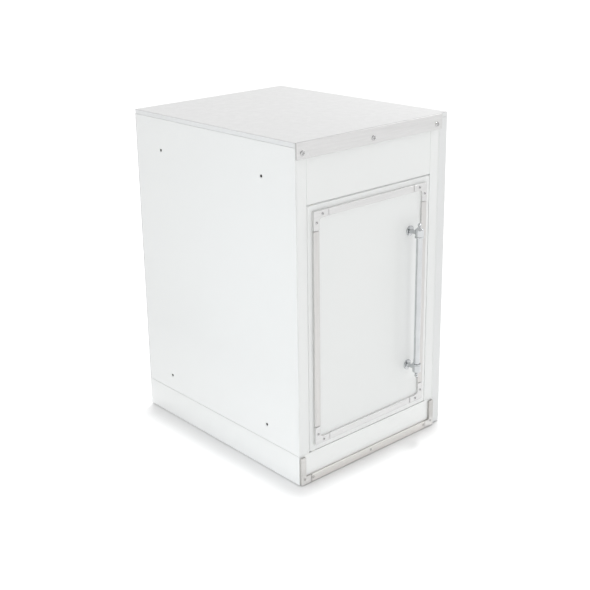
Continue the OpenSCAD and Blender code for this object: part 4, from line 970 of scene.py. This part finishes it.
def makeDoorPanel():
    # a flat panel: a rounded box
    shell = slab(*cadBox("door_panel"), "y", doorPanelShape["corner"], doorPanelShape["edge"])
    piece("doorPanel", [shell], "panelWhite", "door", ["door_panel"])


doorLinerShape = {
    "step": 0.004, "sheet": 0.0025,
    "margin": 0.034, "slope": 0.016, "deep": 0.0065,     # flat border, slope down, hollow
    "fluteDeep": 0.0022, "flutePitch": 0.044, "fluteShape": (1.6, 0.3),
}


def makeDoorLiner():
    # y = back - deep * smooth((distance from the edge - margin) / slope), with flutes of a
    # cosine across the hollow that fade out at its top and bottom
    look = doorLinerShape
    low, high = cadBox("door_liner")
    x = np.linspace(low[0], high[0], int((high[0] - low[0]) / look["step"]))
    z = np.linspace(low[2], high[2], int((high[2] - low[2]) / look["step"]))
    x, z = np.meshgrid(x, z, indexing="ij")
    border = np.minimum(np.minimum(x - low[0], high[0] - x), np.minimum(z - low[2], high[2] - z))
    hollow = smooth((border - look["margin"]) / look["slope"])
    flutes = smooth((border - look["margin"] - 2 * look["slope"]) / look["slope"])
    middle = (low[0] + high[0]) / 2
    wave = 0.5 + 0.5 * np.cos(2 * math.pi * (x - middle) / look["flutePitch"])
    steep, start = look["fluteShape"]
    deep = look["deep"] * hollow - look["fluteDeep"] * flutes * smooth(wave * steep - start)
    back = np.stack([x, high[1] - deep, z], -1)
    front = back - (0.0, look["sheet"], 0.0)
    piece("doorLiner", [sheetShell(front, back)], "linerPlastic", "door",
          ["door_liner"])


makeDoorSkin()
makeDoorSeal()
makeDoorPanel()
makeDoorLiner()
print("door made")


# door handle: a bar in two sleeves, on posts with round plates
handleBarShape = {"edge": 0.0006, "corner": 0.0002, "sides": 64}


def makeHandleBar():
    # a rod: its profile, with bevelled ends, swept round
    look = handleBarShape
    low, high = cadBox("handle_bar")
    x, y = ((low + high) / 2)[:2]
    radius, edge, corner = (high - low)[0] / 2, look["edge"], look["corner"]
    profile = [(poleRadius, low[2]), (radius - edge, low[2]), (radius, low[2] + edge),
               (radius, high[2] - edge), (radius - edge, high[2]), (poleRadius, high[2])]
    profile = softened(profile, [0.0, corner, corner, corner, corner, 0.0], 4, False)
    piece("handleBar", [turned(profile, (x, y, 0.0), "z", look["sides"])], "chrome", "door",
          ["handle_bar"])


sleeveShape = {
    # radius, height out from the middle of the post, and reach of the rounding at each corner
    "profile": [(0.0080, -0.0120, 0.0), (0.0116, -0.0120, 0.0005), (0.0116, -0.0090, 0.0005),
                (0.0102, -0.0086, 0.0003), (0.0110, -0.0080, 0.0003), (0.0110, 0.0094, 0.0012),
                (0.0040, 0.0160, 0.0016), (0.0040, 0.0182, 0.0)],
    "ball": 0.005, "ballUp": 0.0220, "neck": 0.76, "pole": 0.03, "sides": 64,
}


def makeHandleSleeves():
    # the sleeve's profile, then a ball: radius ball * cos f, height ballUp + ball * sin f
    look = sleeveShape
    low, high = cadBox("handle_bar")
    x, y = ((low + high) / 2)[:2]
    f = np.linspace(-math.asin(look["neck"]), math.pi / 2 - look["pole"], 14)
    ball = np.stack([look["ball"] * np.cos(f), look["ballUp"] + look["ball"] * np.sin(f)], -1)
    radius, height, reach = np.array(look["profile"]).T
    sleeve = softened(np.stack([radius, height], -1), reach, 5, False)
    profile = np.vstack([sleeve, ball])
    shells = []
    for (low, high), way in zip(solidBoxes("handle_posts", "z"), (-1, 1)):
        centre = (x, y, ((low + high) / 2)[2])
        shells.append(turned(profile * (1, way), centre, "z", look["sides"]))
    piece("handleSleeves", shells, "chrome", "door", ["handle_sleeves"])


postShape = {"flare": 0.0012, "flareLong": 0.005, "into": 0.003}


def makeHandlePosts():
    # the radius widens by flare * (1 - h / flareLong)^2 towards the plate
    look = postShape
    shells = []
    for low, high in solidBoxes("handle_posts", "z"):
        x, z = ((low + high) / 2)[[0, 2]]
        h = np.linspace(0.0, look["flareLong"], 8)
        h = np.concatenate([h, [high[1] - low[1] + look["into"]]])
        swell = look["flare"] * np.clip(1 - h / look["flareLong"], 0.0, 1.0) ** 2
        profile = np.stack([(high - low)[0] / 2 + swell, -h], -1)
        shells.append(turned(profile, (x, high[1], z), "y"))
    piece("handlePosts", shells, "chrome", "door", ["handle_posts"])


rosetteShape = {"radius": 0.0135, "rim": 0.0007, "up": 0.0040, "full": 0.8, "pole": 0.02,
                "sides": 64}


def makeRosettes():
    # a dome: radius * (cos f)^full at a height of rim + (up - rim) * sin f, on a straight rim
    look = rosetteShape
    f = np.linspace(0.0, math.pi / 2 - look["pole"], 16)
    radius, rim = look["radius"], look["rim"]
    dome = np.stack([radius * np.cos(f) ** look["full"], rim + (look["up"] - rim) * np.sin(f)], -1)
    profile = np.vstack([[(radius, 0.0)], dome])
    shells = []
    for low, high in solidBoxes("handle_rosettes", "z"):
        x, z = ((low + high) / 2)[[0, 2]]
        shells.append(turned(profile * (1, -1), (x, high[1], z), "y", look["sides"]))
    piece("handleRosettes", shells, "rosetteChrome", "door", ["handle_rosettes"])


makeHandleBar()
makeHandleSleeves()
makeHandlePosts()
makeRosettes()
print("handle made")


# bin: a moulded tub with beads, a rolled rim and a bail, on two runners
binTubShape = {
    "corner": 0.032, "wall": 0.004, "draft": 0.004, "foot": 0.012, "points": 420,
    "bead": 0.0016, "beadPitch": 0.05, "beadNarrow": 12,     # level beads in the walls
    "rib": 0.0012, "ribPitch": 0.034, "ribShape": (2.0, 0.5),
    "ribBand": (0.05, 0.06), "ribFade": 0.02,                # bare at the bottom and top, and fade
    "rim": 0.008, "stand": 0.002, "wallTop": 0.012, "underIn": 0.004, "floorIn": 0.006,
    # out over the rim as a share of it, and down from the top
    "rolled": [(0.0, 0.008), (0.6, 0.0066), (0.92, 0.0060), (1.0, 0.0048), (1.0, 0.0022),
               (0.85, 0.0007), (0.5, 0.0)],
    "lip": 0.001,
}
binRunnerShape = {"wide": 0.030, "tall": 0.003, "back": 0.01, "corner": 0.004, "edge": 0.0008}


def makeBinTub():
    # the outline, drawn in by draft * (1 - h / tall) + bead * sin(pi h / beadPitch)^beadNarrow up
    # the wall, and by ribs of a cosine along it, then turned out over the rim and down inside
    look = binTubShape
    low, high = cadBox("bin")
    rim, lip, foot, wall, draft = (look[key] for key in ("rim", "lip", "foot", "wall", "draft"))
    base = low + (rim, rim, look["stand"])
    top = high - (rim, rim, 0.0)
    loop = softened(rectangle(base, top, "z"), look["corner"], 14)
    loop = np.vstack([loop, loop[:1]])
    places = np.linspace(0.0, lengthAlong(loop)[-1], look["points"], endpoint=False)
    outline = spaced(loop, places)
    tall = top[2] - base[2]
    turnIn, turnUp = quarterTurn(foot, 7)
    rise = np.linspace(foot, tall - look["wallTop"], 90)
    inner = rise[::-6]
    tread = np.sin(math.pi * (rise - foot) / look["beadPitch"]) ** look["beadNarrow"]
    rolledOut, rolledDown = np.array(look["rolled"]).T
    draws = np.concatenate([
        [foot + draft + look["underIn"]], turnIn + draft,
        draft * (1 - rise / tall) + look["bead"] * tread,
        -rim * rolledOut, [wall - lip, wall],
        wall + draft * (1 - inner / tall), [wall + draft + look["floorIn"]]])
    depths = base[2] + np.concatenate([
        [0.0], turnUp, rise, tall - rolledDown, [tall, tall - lip], inner, [wall]])
    length = np.linspace(0.0, 1.0, len(outline), endpoint=False)
    around = np.linalg.norm(np.roll(outline, -1, 0) - outline, axis=1).sum()
    ribs = 0.5 - 0.5 * np.cos(2 * math.pi * length * round(around / look["ribPitch"]))
    (lowBand, highBand), (steep, begin) = look["ribBand"], look["ribShape"]
    band = smooth((rise - lowBand) / look["ribFade"]) * smooth(
        (tall - highBand - rise) / look["ribFade"])
    grid = np.repeat(draws[:, None], len(outline), 1)
    start = 1 + len(turnIn)
    grid[start:start + len(rise)] += look["rib"] * band[:, None] * smooth(ribs * steep - begin)
    shells = [ringed(outline, grid, depths, "z")]
    look = binRunnerShape
    for x in (base[0] + look["wide"], top[0] - 2 * look["wide"]):
        shells.append(slab((x, base[1] + look["back"], low[2]),
                           (x + look["wide"], top[1] - look["back"], low[2] + look["tall"]),
                           "z", look["corner"], look["edge"]))
    piece("binTub", shells, "binPlastic", "cabinet", ["bin"])


binHandleShape = {
    "grip": 0.007, "bend": 0.018, "wire": 0.0042, "into": 0.004,
    "gripIn": 0.03, "ring": 0.0005, "ringPitch": 0.008, "endStep": 0.0015,
}


def makeBinHandle():
    # a bent wire, and a grip whose radius is grip - ring + ring * cos of its place in the pitch
    look = binHandleShape
    low, high = cadBox("bin_handle")
    r = look["grip"]
    z = (low[2] + high[2]) / 2
    wallY = high[1] + look["into"]
    corners = [(low[0] + r, wallY, z), (low[0] + r, low[1] + r, z),
               (high[0] - r, low[1] + r, z), (high[0] - r, wallY, z)]
    path = softened(corners, [0.0, look["bend"], look["bend"], 0.0], 16, False)
    x = np.linspace(low[0] + look["gripIn"], high[0] - look["gripIn"], 80)
    swell = r - look["ring"] + look["ring"] * np.cos(2 * math.pi * (x - x[0]) / look["ringPitch"])
    swell[[0, -1]] -= look["endStep"]
    middle = np.stack([x, 0 * x + low[1] + r, 0 * x + z], -1)
    piece("binHandle", [carried(path, look["wire"], 24), carried(middle, swell, 32)],
          "gripPlastic", "cabinet", ["bin_handle"])


makeBinTub()
makeBinHandle()
print("bin made")


# ram: a pressed tray, and the threads that move it
ramPlateShape = {"corner": 0.024, "edge": 0.004, "wall": 0.003, "floor": 0.004, "lip": 0.0004,
                 "lipDown": 0.0005, "fillet": 0.002, "guard": 1.1}


def makeRamPlate():
    # a rounded rectangle's rings: a quarter turn under the edge, side, lip, inner side, floor
    look = ramPlateShape
    low, high = cadBox("ram_plate")
    outline = softened(rectangle(low, high, "z"), look["corner"], 12)
    edge, wall, lip, fillet = look["edge"], look["wall"], look["lip"], look["fillet"]
    turnIn, turnUp = quarterTurn(edge, 6)
    tall = high[2] - low[2]
    shoulder = tall - look["lipDown"]
    draws = np.concatenate([[edge + lip], turnIn,
                            [0.0, 0.0, lip, wall - lip, wall, wall, wall + fillet]])
    depths = low[2] + np.concatenate([[0.0], turnUp, [
        edge * look["guard"], shoulder, tall, tall, shoulder, look["floor"] + fillet,
        look["floor"]]])
    piece("ramPlate", [ringed(outline, draws, depths, "z")], "ramPaint", "ram",
          ["ram_plate"])


powerScrewShape = {
    "outer": 0.010, "journal": 0.007, "thread": (0.0946, 0.8277), "step": 0.0011,
    "runOut": (0.0001, 0.0002),     # from the journals to the thread's two ends
    "lead": 0.010, "threadDeep": 0.0016, "flank": 5.0, "crest": 0.75,
    "hub": 0.013, "hubTop": 0.064,
    "sprocket": (0.044, 0.050), "sprocketEdge": 0.0006,
    "teeth": 12, "toothDeep": 0.0046, "toothShape": 0.7, "toothPoints": 16,
}


def makePowerScrews():
    # radius = outer - deep * (trapezium wave of height / lead - angle / 2 pi) along the thread
    look = powerScrewShape
    journal, (threadLow, threadHigh), (under, over) = (
        look[key] for key in ("journal", "thread", "sprocket"))
    journalTop, journalFoot = threadLow - look["runOut"][0], threadHigh + look["runOut"][1]

    def groove(t, h):
        # 0 on the crest, -threadDeep in the groove, with straight flanks smoothed at both ends
        phase = (h / look["lead"] - t / (2 * math.pi)) % 1.0
        inside = (h >= threadLow) & (h < threadHigh)
        return -look["threadDeep"] * inside * smooth(
            abs(phase - 0.5) * look["flank"] - look["crest"])

    for node, name, body in (("left_power_screw", "leftPowerScrew", "left_screw"),
                             ("right_power_screw", "rightPowerScrew", "right_screw")):
        low, high = cadBox(node)
        x, y = ((low + high) / 2)[:2]
        height = np.arange(threadLow, threadHigh, look["step"])
        profile = np.concatenate([
            [(poleRadius, low[2]), (journal, low[2]), (journal, journalTop)],
            np.stack([0 * height + look["outer"], height], -1),
            [(journal, journalFoot), (journal, high[2]), (poleRadius, high[2])]])
        hub = [(journal, over), (look["hub"], over), (look["hub"], look["hubTop"]),
               (journal, look["hubTop"])]
        # the sprocket's radius: tip - toothDeep * (0.5 + 0.5 cos(teeth * t))^toothShape
        t = np.linspace(0.0, 2 * math.pi, look["teeth"] * look["toothPoints"], endpoint=False)
        tooth = (0.5 + 0.5 * np.cos(look["teeth"] * t)) ** look["toothShape"]
        ring = (high - low)[0] / 2 - look["toothDeep"] * tooth
        outline = np.stack([x + ring * np.cos(t), y + ring * np.sin(t)], -1)
        shells = [turned(profile, (x, y, 0.0), "z", 40, groove), turned(hub, (x, y, 0.0), "z"),
                  prism(outline, under, over, "z", look["sprocketEdge"])]
        piece(name, shells, "threadSteel", body, [node], 50.0)


makeRamPlate()
makePowerScrews()
print("ram and threads made")


# motor with cooling fins, wires in a ribbed tube, and rubber feet
motorShape = {
    "fins": 40, "finDeep": 0.005, "sides": 400, "finShape": (1.5, 0.25),
    "baseCap": 0.014, "topCap": 0.80,   # height of the lower cap, and where the upper one starts
    "finSlack": (0.0001, 0.001),        # the fins pass those two by this much
    "dome": (0.86, 0.93, 0.985), "domeIn": (0.6, 0.5),   # as shares of the height and the radius
    "groove": 0.001, "step": 0.0005, "foot": 0.002, "shoulder": 0.004,
    # reach of the rounding at each corner of the profile
    "reach": [0.0, 0.001, 0.001, 0.0002, 0.0002, 0.0002, 0.0002, 0.004, 0.003, 0.004, 0.002, 0.0],
}


def makeMotor():
    # radius = R - deep * smooth(0.5 - 0.5 cos(fins * t)) between the motor's two end caps
    look = motorShape
    low, high = cadBox("motor_housing")
    x, y = ((low + high) / 2)[:2]
    radius = (high - low)[0] / 2
    tall = high[2] - low[2]
    foot, step, bare = look["foot"], look["step"], radius - look["groove"]
    baseCap, topCap = look["baseCap"], look["topCap"]
    (rise, turn, crown), (wide, narrow) = look["dome"], look["domeIn"]
    profile = [
        (poleRadius, 0.0), (radius - foot, 0.0), (radius, foot), (radius, baseCap - step),
        (bare, baseCap), (bare, topCap * tall), (radius, topCap * tall + step),
        (radius, rise * tall), (radius - look["shoulder"], turn * tall),
        (radius * wide, crown * tall), (radius * narrow, tall), (poleRadius, tall)]
    profile = softened(profile, look["reach"], 5, False) + (0.0, low[2])
    finsLow = low[2] + baseCap - look["finSlack"][0]
    finsHigh = low[2] + (topCap + look["finSlack"][1]) * tall
    steep, start = look["finShape"]

    def fins(t, h):
        # 0 on a fin and -finDeep between two, only where the fins are
        wave = 0.5 - 0.5 * np.cos(look["fins"] * t)
        inside = (h > finsLow) & (h < finsHigh)
        return -look["finDeep"] * inside * smooth(steep * wave - start)

    piece("motorHousing", [turned(profile, (x, y, 0.0), "z", look["sides"], fins)],
          "motorPaint", "cabinet", ["motor_housing"])


gearcaseShape = {"corner": 0.014, "edge": 0.003}


def makeGearcase():
    # a cast box with round corners
    shell = slab(*cadBox("motor_gearcase"), "z", gearcaseShape["corner"], gearcaseShape["edge"])
    piece("motorGearcase", [shell], "motorPaint", "cabinet", ["motor_gearcase"])


conduitShape = {"radius": 0.005, "bend": 0.022, "ripple": 0.0006, "pitch": 0.0035, "down": 0.020}


def makeConduit():
    # a tube whose radius ripples with a cosine of the length along it
    look = conduitShape
    low, high = cadBox("wiring_conduit")
    r, bend, pitch = look["radius"], look["bend"], look["pitch"]
    x, yBack, yFront, zTop = high[0] - r, high[1] - r, low[1] + r, high[2] - r
    zDown = cadBox("control_box")[1][2] - look["down"]
    corners = np.array([(x, yBack, low[2]), (x, yBack, zTop), (x, yFront, zTop),
                        (x, yFront, zDown), (low[0], yFront, zDown)])
    path = softened(corners, [0.0, bend, bend, bend, 0.0], 14, False)
    place = np.arange(0.0, lengthAlong(path)[-1], pitch / 5)
    radius = r - look["ripple"] * (0.5 - 0.5 * np.cos(2 * math.pi * place / pitch))
    piece("wiringConduit", [carried(spaced(path, place), radius, 16)], "blackPlastic", "cabinet",
          ["wiring_conduit"])


footShape = {"tread": 0.0014, "shoulder": 0.0006, "shoulderUp": 0.0008}


def makeFeet():
    # a disc with a bevelled tread: its profile swept round
    look = footShape
    shells = []
    for low, high in solidBoxes("feet", "xy"):
        x, y, tall = *((low + high) / 2)[:2], high[2]
        radius = (high - low)[0] / 2
        profile = [(poleRadius, 0.0), (radius - look["tread"], 0.0),
                   (radius - look["shoulder"], look["shoulderUp"]), (radius, tall),
                   (poleRadius, tall)]
        shells.append(turned(profile, (x, y, 0.0), "z"))
    piece("rubberFeet", shells, "rubber", "cabinet", ["feet"])


makeMotor()
makeGearcase()
makeConduit()
makeFeet()
print("motor, conduit and feet made")


# a carried-over CAD node takes the finish that its slot names, apart from these
slotLooks = {"trim_metal": "trimLevel"}
# the plinth takes the toe's lighter copy of the enamel: painted light, lighter still near the
# floor, with painted shade on its back face
nodeLooks = {"base_frame": "toeEnamel"}


def namedAs(slotName):
    # white_enamel becomes whiteEnamel
    first, *rest = slotName.split("_")
    return first + "".join(word.title() for word in rest)


for row in frame["record"]["subparts"]:
    slotName = row["material_slot"]
    finishName = nodeLooks.get(row["node"]) or slotLooks.get(slotName) or namedAs(slotName)
    for slotPlace in nodes[row["node"]].material_slots:
        slotPlace.material = materials[finishName]
print("CAD nodes dressed")
